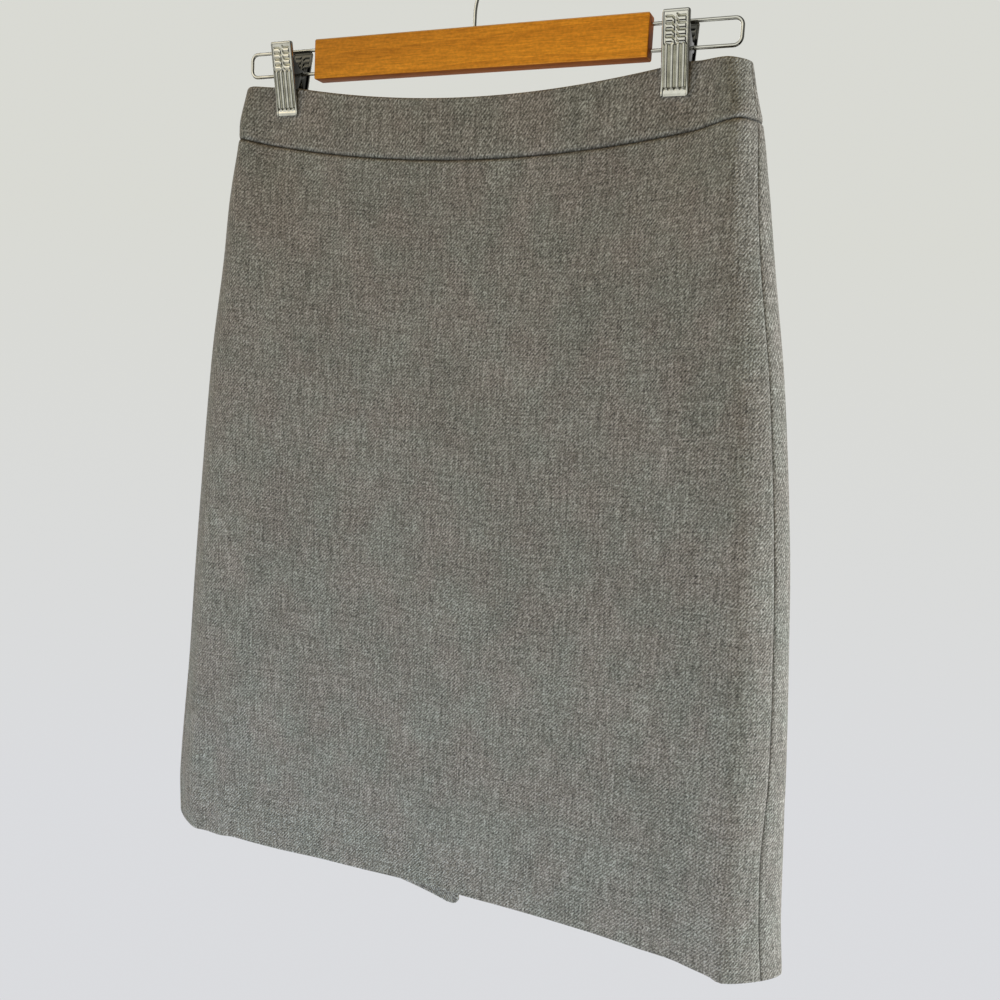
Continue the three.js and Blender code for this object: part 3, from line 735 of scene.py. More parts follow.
@functools.lru_cache(maxsize=None)
def zip_tape_weave():
    """Fine grey herringbone tape"""
    mat, n = new_paint("zip_tape")
    weave = n.add("ShaderNodeUVMap", uv_map="weave").outputs["UV"]
    ribs = n.add(
        "ShaderNodeTexWave", {"Vector": weave, "Scale": 420.0, "Distortion": 0.6},
        wave_type="BANDS", bands_direction="DIAGONAL",
    ).outputs["Fac"]
    threads = n.noise(weave, (2600, 900, 1))
    tone = n.math("ADD", n.math("MULTIPLY", ribs, 0.5), n.math("MULTIPLY", threads, 0.5))
    colour = n.ramp(tone, [(0.2, (0.07, 0.067, 0.062)), (0.8, (0.2, 0.193, 0.18))])
    n.surface({
        "Base Color": colour, "Roughness": 0.85, "Specular IOR Level": 0.3,
        "Normal": n.bump(tone, 0.1 * MM, 0.6),
    })
    return mat


@functools.lru_cache(maxsize=None)
def zip_nylon():
    """The satin coil of the zip"""
    mat, n = new_paint("zip_coil")
    place = n.add("ShaderNodeTexCoord").outputs["Object"]
    wear = n.noise(place, (700, 700, 700))
    n.surface({
        "Base Color": n.ramp(wear, [(0.3, (0.12, 0.115, 0.105)), (0.7, (0.2, 0.19, 0.175))]),
        "Roughness": n.ramp(wear, [(0, grey(0.4)), (1, grey(0.55))]),
        "Normal": n.bump(wear, 0.05 * MM, 0.4),
    })
    return mat


@functools.lru_cache(maxsize=None)
def sewing_thread():
    """Twisted grey thread"""
    mat, n = new_paint("sewing_thread")
    place = n.add("ShaderNodeTexCoord").outputs["Object"]
    twist = n.noise(place, (2400, 2400, 2400))
    n.surface({
        "Base Color": n.ramp(twist, [(0.3, (0.1, 0.093, 0.083)), (0.7, (0.22, 0.205, 0.185))]),
        "Roughness": 0.75, "Normal": n.bump(twist, 0.06 * MM, 0.6),
    })
    return mat


@functools.lru_cache(maxsize=None)
def varnished_wood():
    """Orange-brown hardwood with fine grain along the bar, under satin varnish"""
    hanger = bpy.context.scene.clip_hanger
    mat, n = new_paint("bar_wood")
    place = n.add("ShaderNodeTexCoord").outputs["Object"]
    # The tree's heart lies far below and behind the bar, so its rings cross the bar slanted
    shifted = n.add(
        "ShaderNodeMapping",
        {"Vector": place, "Location": (0.02, 0.05, 0.19), "Rotation": (0.1, 0.035, 0.02)},
    ).outputs[0]
    bent = n.noise(shifted, (5, 26, 26), detail=2.0)
    stretched = n.add("ShaderNodeMapping", {"Vector": shifted, "Scale": (0.16, 1, 1)}).outputs[0]
    rings = n.add(
        "ShaderNodeTexWave",
        {
            "Vector": stretched, "Scale": 21.0, "Distortion": 3.2, "Detail": 3.0,
            "Detail Scale": 0.9, "Detail Roughness": 0.6,
        },
        wave_type="RINGS", rings_direction="X", wave_profile="SAW",
    ).outputs["Fac"]
    fine = n.noise(place, (60, 800, 800), detail=3.0, roughness=0.65)
    pores = n.noise(place, (120, 2600, 2600), detail=1.0)
    flakes = n.noise(place, (420, 800, 560), detail=2.0)
    tone = n.math("ADD", n.math("MULTIPLY", rings, 0.26), n.math("MULTIPLY", bent, 0.42))
    tone = n.math("ADD", tone, n.math("MULTIPLY_ADD", fine, 1.5, -0.62))
    body = n.mixed("MIX", tone, rgba(hanger.wood), rgba(hanger.dark_grain))
    pored = n.ramp(pores, [(0.28, (0.66, 0.6, 0.55)), (0.42, (1, 1, 1))])
    flaked = n.ramp(flakes, [(0.38, (0.86, 0.84, 0.8)), (0.6, (1, 1, 1))])
    colour = n.mixed("MULTIPLY", 0.7, body, pored)
    colour = n.mixed("MULTIPLY", 1.0, colour, flaked)
    # The ends are darkened, partly as end grain that takes more stain and partly as painted shade;
    # the underside is darkened as painted shade, and the upper arris is lightened as a painted
    # highlight
    facing = n.add("ShaderNodeNewGeometry").outputs["True Normal"]
    faces = n.add("ShaderNodeSeparateXYZ", {"Vector": facing}).outputs
    endwards = n.math("ABSOLUTE", faces["X"])
    upwards = n.math("MULTIPLY_ADD", faces["Z"], 0.5, 0.5)
    # Darker ends: end-grain stain and painted shade
    ends = n.ramp(endwards, [(0.6, (1, 1, 1)), (0.9, (0.42, 0.3, 0.3))])
    # Darker underside: painted shade
    painted_underside_shade = n.ramp(upwards, [(0.06, (0.3, 0.2, 0.2)), (0.22, (1, 1, 1))])
    for stain_and_shade in (ends, painted_underside_shade):
        colour = n.mixed("MULTIPLY", 1.0, colour, stain_and_shade)
    # Paler upper arris: a painted highlight where the rounded edge catches light
    painted_highlight = n.ramp(upwards, [
        (0.6, grey(0)), (0.75, grey(0.6)), (0.92, grey(0.6)), (0.99, grey(0)),
    ])
    colour = n.mixed("MIX", painted_highlight, colour, (1.0, 0.72, 0.34, 1))
    # The bar is a little paler towards its right end
    aside = n.add("ShaderNodeSeparateXYZ", {"Vector": place}).outputs["X"]
    paler = n.ramp(
        n.math("MULTIPLY_ADD", aside, 1 / (BAR_LENGTH * MM), 0.5),
        [(0, (0.98, 0.98, 1)), (1, (1.3, 1.3, 1.45))],
    )
    colour = n.mixed("MULTIPLY", 1.0, colour, paler)
    n.surface({
        "Base Color": colour,
        "Roughness": n.ramp(fine, [(0.3, grey(0.5)), (0.7, grey(0.62))]),
        "Specular IOR Level": 0.28, "Coat Weight": 0.03, "Coat Roughness": 0.3,
        "Normal": n.bump(n.math("ADD", fine, n.math("MULTIPLY", pores, 0.7)), 0.05 * MM, 0.5),
    })
    return mat


# Each metal's colour, or None for the hanger's nickel, then how rough it is where it is
# bright and where it is dull. The spring's colour is kept far darker than the nickel
METALS = {
    "clip_steel": (None, 0.12, 0.22),
    "wire_steel": (None, 0.12, 0.24),
    "zip_metal": ((0.5, 0.49, 0.46), 0.28, 0.42),
    "spring_steel": ((0.26, 0.255, 0.25), 0.3, 0.45),
}
# How bright a clip's inner faces and ears are kept: painted shade
INSIDE_PAINTED_SHADE = 0.17


@functools.lru_cache(maxsize=None)
def plated_steel(name):
    """Bright plate with a few dull places and hairline scratches; a clip's inner faces and ears are
    darkened as painted shade
    """
    colour, rough, dull = METALS[name]
    colour = tuple(colour or bpy.context.scene.clip_hanger.steel)
    mat, n = new_paint(name)
    place = n.add("ShaderNodeTexCoord").outputs["Object"]
    stains = n.noise(place, (160, 160, 160), detail=3.0)
    hairs = n.noise(place, (3200, 3200, 240), detail=1.0)
    tint = n.ramp(stains, [(0.3, tuple(0.8 * c for c in colour)), (0.62, colour)])
    if name == "clip_steel":
        # All but the plate's outer face is darkened: painted shade inside the clip
        outer_plate_face = n.add("ShaderNodeAttribute", attribute_name="outer_plate_face").outputs["Fac"]
        inside = n.ramp(outer_plate_face, [(0.2, grey(INSIDE_PAINTED_SHADE)), (0.8, grey(1))])
        tint = n.mixed("MULTIPLY", 1.0, tint, inside)
    n.surface({
        "Base Color": tint, "Metallic": 1.0,
        "Roughness": n.ramp(stains, [(0.3, grey(dull)), (0.65, grey(rough))]),
        "Normal": n.bump(hairs, 0.01 * MM, 0.25),
    })
    return mat


def geometry_tree(name, sockets):
    """A Geometry Nodes tree with named inputs; sockets are (name, type, default)"""
    tree = bpy.data.node_groups.new(name, "GeometryNodeTree")
    tree.is_modifier = True
    face = tree.interface
    face.new_socket(name="Geometry", in_out="INPUT", socket_type="NodeSocketGeometry")
    for label, kind, default in sockets:
        socket = face.new_socket(name=label, in_out="INPUT", socket_type=kind)
        if default is not None:
            socket.default_value = default
    face.new_socket(name="Geometry", in_out="OUTPUT", socket_type="NodeSocketGeometry")
    n = Nodes(tree)
    return tree, n, n.add("NodeGroupInput").outputs


def finish_tree(n, geometry, mat_socket):
    """Ends a tree in Realize Instances and Set Material"""
    real = n.add("GeometryNodeRealizeInstances", {"Geometry": geometry}).outputs[0]
    painted = n.add("GeometryNodeSetMaterial", {"Geometry": real, "Material": mat_socket})
    n.add("NodeGroupOutput", {"Geometry": painted.outputs[0]})


@functools.lru_cache(maxsize=None)
def wire_tree():
    """A round wire along a line of points, with closed ends"""
    tree, n, given = geometry_tree("Round Wire", [
        ("Radius", "NodeSocketFloat", 0.001),
        ("Sides", "NodeSocketInt", 16),
        ("Material", "NodeSocketMaterial", None),
    ])
    line = n.add("GeometryNodeMeshToCurve", {"Mesh": given["Geometry"]}).outputs[0]
    ring = n.add(
        "GeometryNodeCurvePrimitiveCircle",
        {"Resolution": given["Sides"], "Radius": given["Radius"]},
    ).outputs[0]
    tube = n.add(
        "GeometryNodeCurveToMesh", {"Curve": line, "Profile Curve": ring, "Fill Caps": True},
    ).outputs[0]
    smooth = n.add("GeometryNodeSetShadeSmooth", {"Geometry": tube}).outputs[0]
    finish_tree(n, smooth, given["Material"])
    return tree


@functools.lru_cache(maxsize=None)
def bead_tree():
    """A small rounded bead on each point, turned by the point's own turn"""
    tree, n, given = geometry_tree("Row of Beads", [
        ("Size", "NodeSocketVector", (0.001, 0.001, 0.001)),
        ("Unevenness", "NodeSocketFloat", 0.1),
        ("Seed", "NodeSocketInt", 7),
        ("Material", "NodeSocketMaterial", None),
    ])
    ball = n.add("GeometryNodeMeshUVSphere", {"Radius": 0.5, "Segments": 8, "Rings": 5}).outputs[0]
    bead = n.add("GeometryNodeTransform", {"Geometry": ball, "Scale": given["Size"]}).outputs[0]
    smooth = n.add("GeometryNodeSetShadeSmooth", {"Geometry": bead}).outputs[0]
    turn = n.add(
        "GeometryNodeInputNamedAttribute", {"Name": "turn"}, data_type="FLOAT_VECTOR",
    ).outputs["Attribute"]
    low = n.math("SUBTRACT", 1.0, given["Unevenness"])
    high = n.math("ADD", 1.0, given["Unevenness"])
    scale = n.add("FunctionNodeRandomValue", {"Seed": given["Seed"]}, data_type="FLOAT")
    for key, value in (("Min_001", low), ("Max_001", high)):
        tree.links.new(value, next(s for s in scale.inputs if s.identifier == key))
    size = next(s for s in scale.outputs if s.identifier == "Value_001")
    beads = n.add(
        "GeometryNodeInstanceOnPoints",
        {"Points": given["Geometry"], "Instance": smooth, "Rotation": turn, "Scale": size},
    ).outputs[0]
    finish_tree(n, beads, given["Material"])
    return tree


def grown(name, points, tree, values, edges=(), turns=None):
    """The plain mesh that a Geometry Nodes tree makes from points in millimetres"""
    seed = bpy.data.meshes.new(name + "_points")
    seed.from_pydata([tuple(np.array(p) * MM) for p in points], list(edges), [])
    if turns is not None:
        mark = seed.attributes.new("turn", "FLOAT_VECTOR", "POINT")
        mark.data.foreach_set("vector", np.array(turns, np.float32).ravel())
    obj = bpy.data.objects.new(name + "_points", seed)
    bpy.context.scene.collection.objects.link(obj)
    modifier = obj.modifiers.new("Grown", "NODES")
    modifier.node_group = tree
    for item in tree.interface.items_tree:
        if item.item_type == "SOCKET" and item.in_out == "INPUT" and item.name in values:
            modifier[item.identifier] = values[item.name]
    graph = bpy.context.evaluated_depsgraph_get()
    mesh = bpy.data.meshes.new_from_object(obj.evaluated_get(graph))
    mesh.name = name
    obj.modifiers.remove(modifier)
    bpy.data.objects.remove(obj)
    bpy.data.meshes.remove(seed)
    return mesh


def wire_mesh(name, path, radius, mat):
    """A round wire along a path"""
    sides = bpy.context.scene.clip_hanger.wire_sides
    edges = [(k, k + 1) for k in range(len(path) - 1)]
    values = {"Radius": radius * MM, "Sides": sides, "Material": mat}
    mesh = grown(name, path, wire_tree(), values, edges)
    shaded(mesh, 60)
    return mesh


def bead_row(name, points, size, unevenness, seed, mat, slot, turns=None):
    """Small rounded beads on points, as stitches or a zip's coil have them"""
    values = {
        "Size": tuple(s * MM for s in size), "Unevenness": unevenness, "Seed": seed,
        "Material": mat,
    }
    turns = turns or [(0.0, 0.0, 0.0)] * len(points)
    mesh = grown(name, points, bead_tree(), values, turns=turns)
    return placed(new_object(name, mesh, mat))


# The cloth


BAND_BOTTOM = BAND_HEIGHT - HALF_GAP
SKIRT_TOP = BAND_HEIGHT + HALF_GAP
FRONT_COLUMNS = 104
BACK_COLUMNS = 58
# Levels and places at which a cut piece is measured
CUT_LEVELS = 40
CUT_PLACES = 60
# Lines of the mesh at the turned hem's upper edge, above and below it
HEM_LINES = (-1.2, -0.4, 0.4, 1.2)
# How much of a seam's depth the side seams have, on the waistband and on the panels
BAND_SIDE_SEAM = 0.3
PANEL_SIDE_SEAM = 0.62
SEAM_UNEVEN = 0.2
# Reach of the painted shade along a seam's groove, across the waist and down the sides, and the
# sides' share of it
SEAM_SHADE_REACH = 1.9
SIDE_SHADE_REACH = 1.4
SIDE_SHADE_SHARE = 0.8
# What a seam leaves of the cloth, and how far from an edge the creases reach their full depth
CLOTH_LEFT = 0.35
CREASE_OFF_EDGE = 14
CREASE_OFF_BAND = 30
# Half the length over which a seam turns into an open edge
OPENS_OVER = 4


class ClothPiece:
    """One cut piece of the skirt: its span round the section and its four edges"""

    def __init__(self, name):
        self.name = name
        self.is_band = name.startswith("waistband")
        self.is_front = "front" in name
        self.is_left = name.endswith("left")
        self.top, self.bottom = (0, BAND_BOTTOM) if self.is_band else (SKIRT_TOP, SKIRT_LENGTH)
        self.columns = FRONT_COLUMNS if self.is_front else BACK_COLUMNS
        self.creases = FRONT_CREASES if self.is_front else BACK_CREASES
        # The edge at the centre back, which is open on a panel below the vent's top alone
        self.opens = None if self.is_front else "start" if self.is_left else "end"
        self.opens_from = -BAND_HEIGHT if self.is_band else VENT_TOP
        self.droops = name == "back_panel_left"
        self.extension = UNDERLAP if name == "back_panel_right" else 0.0

    def span(self, section):
        """Where the piece starts and ends round the section"""
        if self.is_front:
            return section.left_seam - section.whole + HALF_GAP, section.right_seam - HALF_GAP
        if self.is_left:
            return section.centre_back + HALF_GAP, section.left_seam - HALF_GAP
        return section.right_seam + HALF_GAP, section.centre_back - HALF_GAP

    def thickness(self, below):
        """How thick the cloth is at one level; the turned hem is thicker"""
        if self.is_band:
            return BAND
        return lerp(CLOTH, HEM_CLOTH, float(ease((below - SKIRT_LENGTH + HEM_DEPTH + 1) / 2)))

    def levels(self):
        """Levels of the mesh's rows, with a few more at the turned hem's edge"""
        step = bpy.context.scene.skirt_cloth.grid / MM
        count = int((self.bottom - self.top) / step)
        places = self.top + spaced(self.bottom - self.top, count)
        if self.is_band:
            return places
        fold = SKIRT_LENGTH - HEM_DEPTH + np.array(HEM_LINES)
        return np.sort(np.concatenate([places, fold]))

    def level(self, below):
        """Outer and inner points, weave places and painted seam shade marks of one level"""
        cloth = bpy.context.scene.skirt_cloth
        sink, reach = cloth.seam_sink / MM, cloth.seam_reach / MM
        section = section_at(float(below))
        start, end = self.span(section)
        from_start = spaced(end - start, self.columns)
        along = start + from_start
        from_end = end - along
        thick = self.thickness(below)
        shallow = sink * (1 + SEAM_UNEVEN * uneven(along))
        from_fold, from_seam = below - self.top, self.bottom - below
        if not self.is_band:
            from_fold, from_seam = from_seam, from_fold
        roll = rolled(np.full_like(along, from_fold), thick)
        draw = sunk(np.full_like(along, from_seam), shallow, reach)
        # mark: painted shade along the seams
        mark = sunk(np.full_like(along, from_seam), 1.0, SEAM_SHADE_REACH)
        since = (below - self.opens_from + OPENS_OVER) / (2 * OPENS_OVER)
        is_open = float(ease(since))
        for side, distance in (("start", from_start), ("end", from_end)):
            held = BAND_SIDE_SEAM if self.is_band else PANEL_SIDE_SEAM
            if side == self.opens:
                held *= 1 - is_open
                roll = np.maximum(roll, is_open * rolled(distance, thick))
            draw = np.maximum(draw, held * sunk(distance, shallow, reach))
            mark = np.maximum(mark, held * sunk(distance, SIDE_SHADE_SHARE, SIDE_SHADE_REACH))
        across = along - (0.0 if self.is_front else section.centre_back)
        out = creased(self.creases, across, below)
        out = out * ease(np.minimum(from_start, from_end) / CREASE_OFF_EDGE)
        out = out * float(ease(max(below - BAND_HEIGHT, 0) / CREASE_OFF_BAND))
        draw = np.minimum(draw, thick - CLOTH_LEFT)
        lift = 0.0
        if self.droops:
            near = np.clip(1 - from_start / FLAP_CORNER, 0, 1)
            lift = FLAP_CORNER * (1 - np.sqrt(1 - near**2)) * FLAP_CORNER_LIFT
        insets = (np.maximum(draw, roll) - out, thick - roll - out)
        faces = two_faces(section, along, insets, below, self.droops, lift)
        return (*faces, weave_at(across, below), mark)

    def mesh(self):
        """The piece as a closed mesh"""
        return shell_of(self.name, [self.level(below) for below in self.levels()])

    def cut(self):
        """Greatest width and length of the cut piece, and its area, in metres"""
        levels = np.linspace(self.top, self.bottom, CUT_LEVELS)
        widths = [np.subtract(*self.span(section_at(float(b)))[::-1]) for b in levels]
        low = section_at(float(self.bottom))
        x = low.place(np.linspace(*self.span(low), CUT_PLACES), 0)[2]
        depths = height_at(x, self.top) - height_at(x, self.bottom, self.droops)
        area = np.mean(widths) * np.mean(depths) + self.extension * VENT_LENGTH
        return ((max(widths) + self.extension) * MM, max(depths) * MM), area * MM * MM

    def sew(self, mesh=None):
        """Makes the piece's object, attaches it to what it hangs from and works out its cut"""
        obj = new_object(self.name + "_cloth", mesh or self.mesh(), wool_twill())
        placed(obj, self.name)
        flat, area = self.cut()


class SKIRT_OT_waistband(bpy.types.Operator):
    """Builds the contoured waistband: one front piece and two back halves"""

    bl_idname = "skirt.waistband"
    bl_label = "Waistband"

    def execute(self, context):
        for name in ("waistband_front", "waistband_back_right", "waistband_back_left"):
            ClothPiece(name).sew()
        return {"FINISHED"}


class SKIRT_OT_front_panel(bpy.types.Operator):
    """Builds the plain front panel"""

    bl_idname = "skirt.front_panel"
    bl_label = "Front Panel"

    def execute(self, context):
        ClothPiece("front_panel").sew()
        return {"FINISHED"}


def underlap_mesh():
    """The right back's extension, which goes on under the left back at the vent"""
    across = spaced(UNDERLAP + UNDERLAP_ROOT, UNDERLAP_COLUMNS)
    dip = ease((across - UNDERLAP_DIP_FROM) / UNDERLAP_DIP)
    inset = lerp(UNDERLAP_ROOT_INSET, HEM_CLOTH + UNDERLAP_CLEAR, dip)
    rows = []
    for below in VENT_TOP + spaced(VENT_LENGTH - UNDERLAP_SHORTER, UNDERLAP_ROWS):
        section = section_at(float(below))
        along = section.centre_back - UNDERLAP_ROOT + across
        edge = np.minimum(across[-1] - across, SKIRT_LENGTH - UNDERLAP_SHORTER - below)
        roll = rolled(edge, CLOTH)
        faces = two_faces(section, along, (inset + roll, inset + (CLOTH - roll)), below)
        weave = weave_at(along - section.centre_back, below)
        rows.append((*faces, weave, np.zeros_like(across)))
    return shell_of("underlap", rows)


class SKIRT_OT_back_panels(bpy.types.Operator):
    """Builds the two back halves, with the vent's overlap and underlap"""

    bl_idname = "skirt.back_panels"
    bl_label = "Back Panels"

    def execute(self, context):
        right = ClothPiece("back_panel_right")
        right.sew(joined_mesh(right.name, right.mesh(), underlap_mesh()))
        ClothPiece("back_panel_left").sew()
        return {"FINISHED"}


# The sewing. A row's stitches have their size, how uneven it is, and a seed for that
HEM_STITCH = ((2.4, 0.45, 0.45), 0.15, 11)
HEM_STITCH_ABOVE = 1.6
HEM_STITCH_SLANT = 0.35
HEM_STITCH_OFF_SEAM = 6
TAPE_STITCH = ((0.45, 0.45, 2.1), 0.08, 5)
TAPE_STITCH_PITCH = 3.0
TAPE_STITCH_ASIDE = 8.2
SEWN_PROUD = 0.12


class SKIRT_OT_hem_stitches(bpy.types.Operator):
    """Sews the blind stitches that hold the turned hem inside the skirt"""

    bl_idname = "skirt.hem_stitches"
    bl_label = "Hem Stitches"

    def execute(self, context):
        below = SKIRT_LENGTH - HEM_DEPTH - HEM_STITCH_ABOVE
        pitch = context.scene.skirt_cloth.stitch_pitch / MM
        section = section_at(below)
        points, turns = [], []
        for name in ("front_panel", "back_panel_right", "back_panel_left"):
            piece = ClothPiece(name)
            start, end = piece.span(section)
            count = int((end - start - 2 * HEM_STITCH_OFF_SEAM) / pitch)
            along = start + HEM_STITCH_OFF_SEAM + np.arange(count) * pitch
            x, y, on_line = section.place(along, CLOTH + SEWN_PROUD)
            z = height_at(on_line, below, piece.droops)
            at = np.mod(along, section.whole)
            way = [np.interp(at, section.lengths, section.ways[:, k]) for k in (0, 1)]
            points.extend(np.stack([x, y, z], axis=1))
            turns.extend((0.0, HEM_STITCH_SLANT, a) for a in np.arctan2(way[1], way[0]))
        thread = sewing_thread()
        bead_row("hem_stitches", points, *HEM_STITCH, thread, "wool_twill", turns)
        return {"FINISHED"}


# The zip. The coil's teeth have their size, how uneven it is, and a seed for that
CHAIN_TOOTH = ((3.3, 1.1, 0.85), 0.03, 3)
CHAIN_PITCH = 1.25
CHAIN_TOP = 15.0
CHAIN_PROUD = 0.25
CHAIN_ENDS = ZIP_LENGTH - 2
STITCHES_END = ZIP_LENGTH - 4
TAPE_LINES = 60
ZIP_STEP_BELOW = 3.0
ZIP_STEP = 14.0
TAPE_WEAVE_START = 20


def tape_inset(below):
    """How far in the tapes lie; they step out where the waistband ends"""
    step = float(ease((below - BAND_HEIGHT - ZIP_STEP_BELOW) / ZIP_STEP))
    return lerp(BAND, CLOTH, step) + 2 * HALF_GAP


def zip_tape_mesh(name, sign):
    """One woven tape of the zip, with a rounded outer edge"""
    width = ZIP_TAPE_WIDTH - ZIP_CHAIN_HALF
    across = np.array([0, 0.3, 1, 3, 6, 9, width - 0.6, width - 0.2, width])
    roll = rolled(np.minimum(across, width - across), ZIP_TAPE)
    away = ZIP_CHAIN_HALF + across if sign > 0 else ZIP_TAPE_WIDTH - across
    rows = []
    for below in np.linspace(ZIP_TOP, ZIP_LENGTH, TAPE_LINES):
        section = section_at(float(below))
        along = section.centre_back + sign * away
        inset = tape_inset(below)
        faces = two_faces(section, along, (inset + roll, inset + (ZIP_TAPE - roll)), below)
        rows.append((*faces, weave_at(away, below, TAPE_WEAVE_START)))
    return shell_of(name, rows)


def along_zip(top, bottom, pitch, aside, inset):
    """Places down the zip, inside the tapes"""
    places = []
    for below in np.arange(top, bottom, pitch):
        section = section_at(round(float(below), 3))
        x, y, on_line = section.place(section.centre_back + aside, tape_inset(below) + inset)
        places.append((float(x), float(y), float(height_at(on_line, below))))
    return places


# How close corners are merged, how far faces turn at a sharp edge, in radians, how far it is
# rounded, and how far faces turn, in degrees, where the shading breaks
MERGED_WITHIN = 0.004
SHARP_TURN = 0.6
METAL_ROUND = 0.16
METAL_SHADED = 35
BAR_SHADED = 50


def softened_copy(node, name, mat):
    """A copy of a frame node with its doubled corners merged and its edges rounded"""
    work = bmesh.new()
    work.from_mesh(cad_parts[node].data)
    bmesh.ops.remove_doubles(work, verts=work.verts, dist=MERGED_WITHIN * MM)
    bmesh.ops.dissolve_limit(work, angle_limit=math.radians(1), verts=work.verts, edges=work.edges)
    sharp = [e for e in work.edges if len(e.link_faces) == 2 and e.calc_face_angle() > SHARP_TURN]
    bmesh.ops.bevel(
        work, geom=sharp, offset=METAL_ROUND * MM, offset_type="OFFSET", segments=2, profile=0.5,
        affect="EDGES", clamp_overlap=True,
    )
    bmesh.ops.triangulate(work, faces=work.faces)
    mesh = mesh_of(name, work)
    shaded(mesh, METAL_SHADED)
    return new_object(name, mesh, mat)


class SKIRT_OT_zip(bpy.types.Operator):
    """Builds the concealed centre-back zip: tapes, coil, sewing, slider and pull"""

    bl_idname = "skirt.zip"
    bl_label = "Concealed Zip"

    def execute(self, context):
        for side, sign in (("right", -1), ("left", 1)):
            node = f"zip_tape_{side}"
            tape = new_object(node + "_cloth", zip_tape_mesh(node, sign), zip_tape_weave())
            placed(tape, node)
        proud = ZIP_TAPE + CHAIN_PROUD
        teeth = along_zip(CHAIN_TOP, CHAIN_ENDS, CHAIN_PITCH, 0.0, proud)
        bead_row("zip_coil", teeth, *CHAIN_TOOTH, zip_nylon(), "zip_tape")
        proud = ZIP_TAPE + SEWN_PROUD
        sewn = []
        for aside in (-TAPE_STITCH_ASIDE, TAPE_STITCH_ASIDE):
            sewn += along_zip(CHAIN_TOP, STITCHES_END, TAPE_STITCH_PITCH, aside, proud)
        bead_row("zip_stitches", sewn, *TAPE_STITCH, sewing_thread(), "zip_tape")
        for node, body in (("zip_slider", SKIRT_BODY), ("zip_pull", PULL_BODY)):
            metal = softened_copy(node, node + "_metal", plated_steel("zip_metal"))
            placed(metal, node, body)
        return {"FINISHED"}


# The hanger


class HANGER_OT_bar(bpy.types.Operator):
    """Builds the varnished wooden bar"""

    bl_idname = "clip_hanger.bar"
    bl_label = "Wooden Bar"

    def execute(self, context):
        work = bmesh.new()
        bmesh.ops.create_cube(work, size=1)
        size = Vector((BAR_LENGTH, BAR_DEPTH, BAR_HEIGHT)) * MM
        bmesh.ops.scale(work, vec=size, verts=work.verts)
        bmesh.ops.translate(work, vec=(0, 0, BAR_Z * MM), verts=work.verts)
        bmesh.ops.bevel(
            work, geom=work.edges[:], offset=context.scene.clip_hanger.edge_round,
            offset_type="OFFSET", segments=5, profile=0.5, affect="EDGES",
        )
        mesh = mesh_of("hanger_bar", work)
        shaded(mesh, BAR_SHADED)
        obj = new_object("hanger_bar_wood", mesh, varnished_wood())
        placed(obj, "hanger_bar")
        return {"FINISHED"}


def turn_xz(cx, cz, radius, first, last, steps):
    """Points of an arc in the plane of the hanger"""
    return [
        (cx + radius * math.cos(a), 0.0, cz + radius * math.sin(a))
        for a in np.linspace(first, last, steps)
    ]


def straight(a, b, steps):
    """Even places from one point towards another, without the last"""
    return [tuple(np.array(a) + (np.array(b) - np.array(a)) * k / steps) for k in range(steps)]


def loop_path(sign):
    """The bent wire that a clip slides on"""
    near = BAR_LENGTH / 2 - WIRE_IN_BAR
    far = LOOP_REACH - WIRE_R
    top, low = BAR_Z + LOOP_TOP, BAR_Z + LOOP_LOW
    corner = far - LOOP_ROUND
    path = straight((near, 0, top), (corner, 0, top), 8)
    path += turn_xz(corner, top - LOOP_ROUND, LOOP_ROUND, math.pi / 2, 0, 12)
    path += turn_xz(corner, low + LOOP_ROUND, LOOP_ROUND, 0, -math.pi / 2, 12)
    path += straight((corner - 1, 0, low), (near, 0, low), 8)
    path.append((near, 0, low))
    return [(sign * x, y, z) for x, y, z in path]


def hook_path():
    """The hook: a shank up out of the bar, an eased bend and a wide turn"""
    radius = HOOK_INNER_R + WIRE_R
    turn = turn_xz(0, -HOOK_INNER_R, radius, HOOK_JOIN_TURN, math.pi + HOOK_TIP_TURN, 56)
    foot = np.array((0, 0, -BAR_TOP_BELOW - WIRE_IN_BAR))
    bend = np.array((0, 0, -HOOK_BEND_BELOW))
    way = np.array((-math.sin(HOOK_JOIN_TURN), 0, math.cos(HOOK_JOIN_TURN)))
    join = np.array(turn[0])
    a, b = bend + np.array((0, 0, HOOK_BEND_EASE)), join - way * HOOK_BEND_EASE
    path = straight(foot, bend, 6)
    for t in np.linspace(0, 1, 18)[:-1]:
        u = 1 - t
        path.append(tuple(u**3 * bend + 3 * u * u * t * a + 3 * u * t * t * b + t**3 * join))
    return path + turn


class HANGER_OT_wires(bpy.types.Operator):
    """Bends the hook and the two loops from round nickel-plated wire"""

    bl_idname = "clip_hanger.wires"
    bl_label = "Hook and Loops"

    def execute(self, context):
        routes = (
            ("hanger_hook", hook_path()),
            ("wire_loop_right", loop_path(1)),
            ("wire_loop_left", loop_path(-1)),
        )
        for node, path in routes:
            wire = wire_mesh(node, path, WIRE_R, plated_steel("wire_steel"))
            obj = new_object(node + "_wire", wire, plated_steel("wire_steel"))
            placed(obj, node)
        return {"FINISHED"}


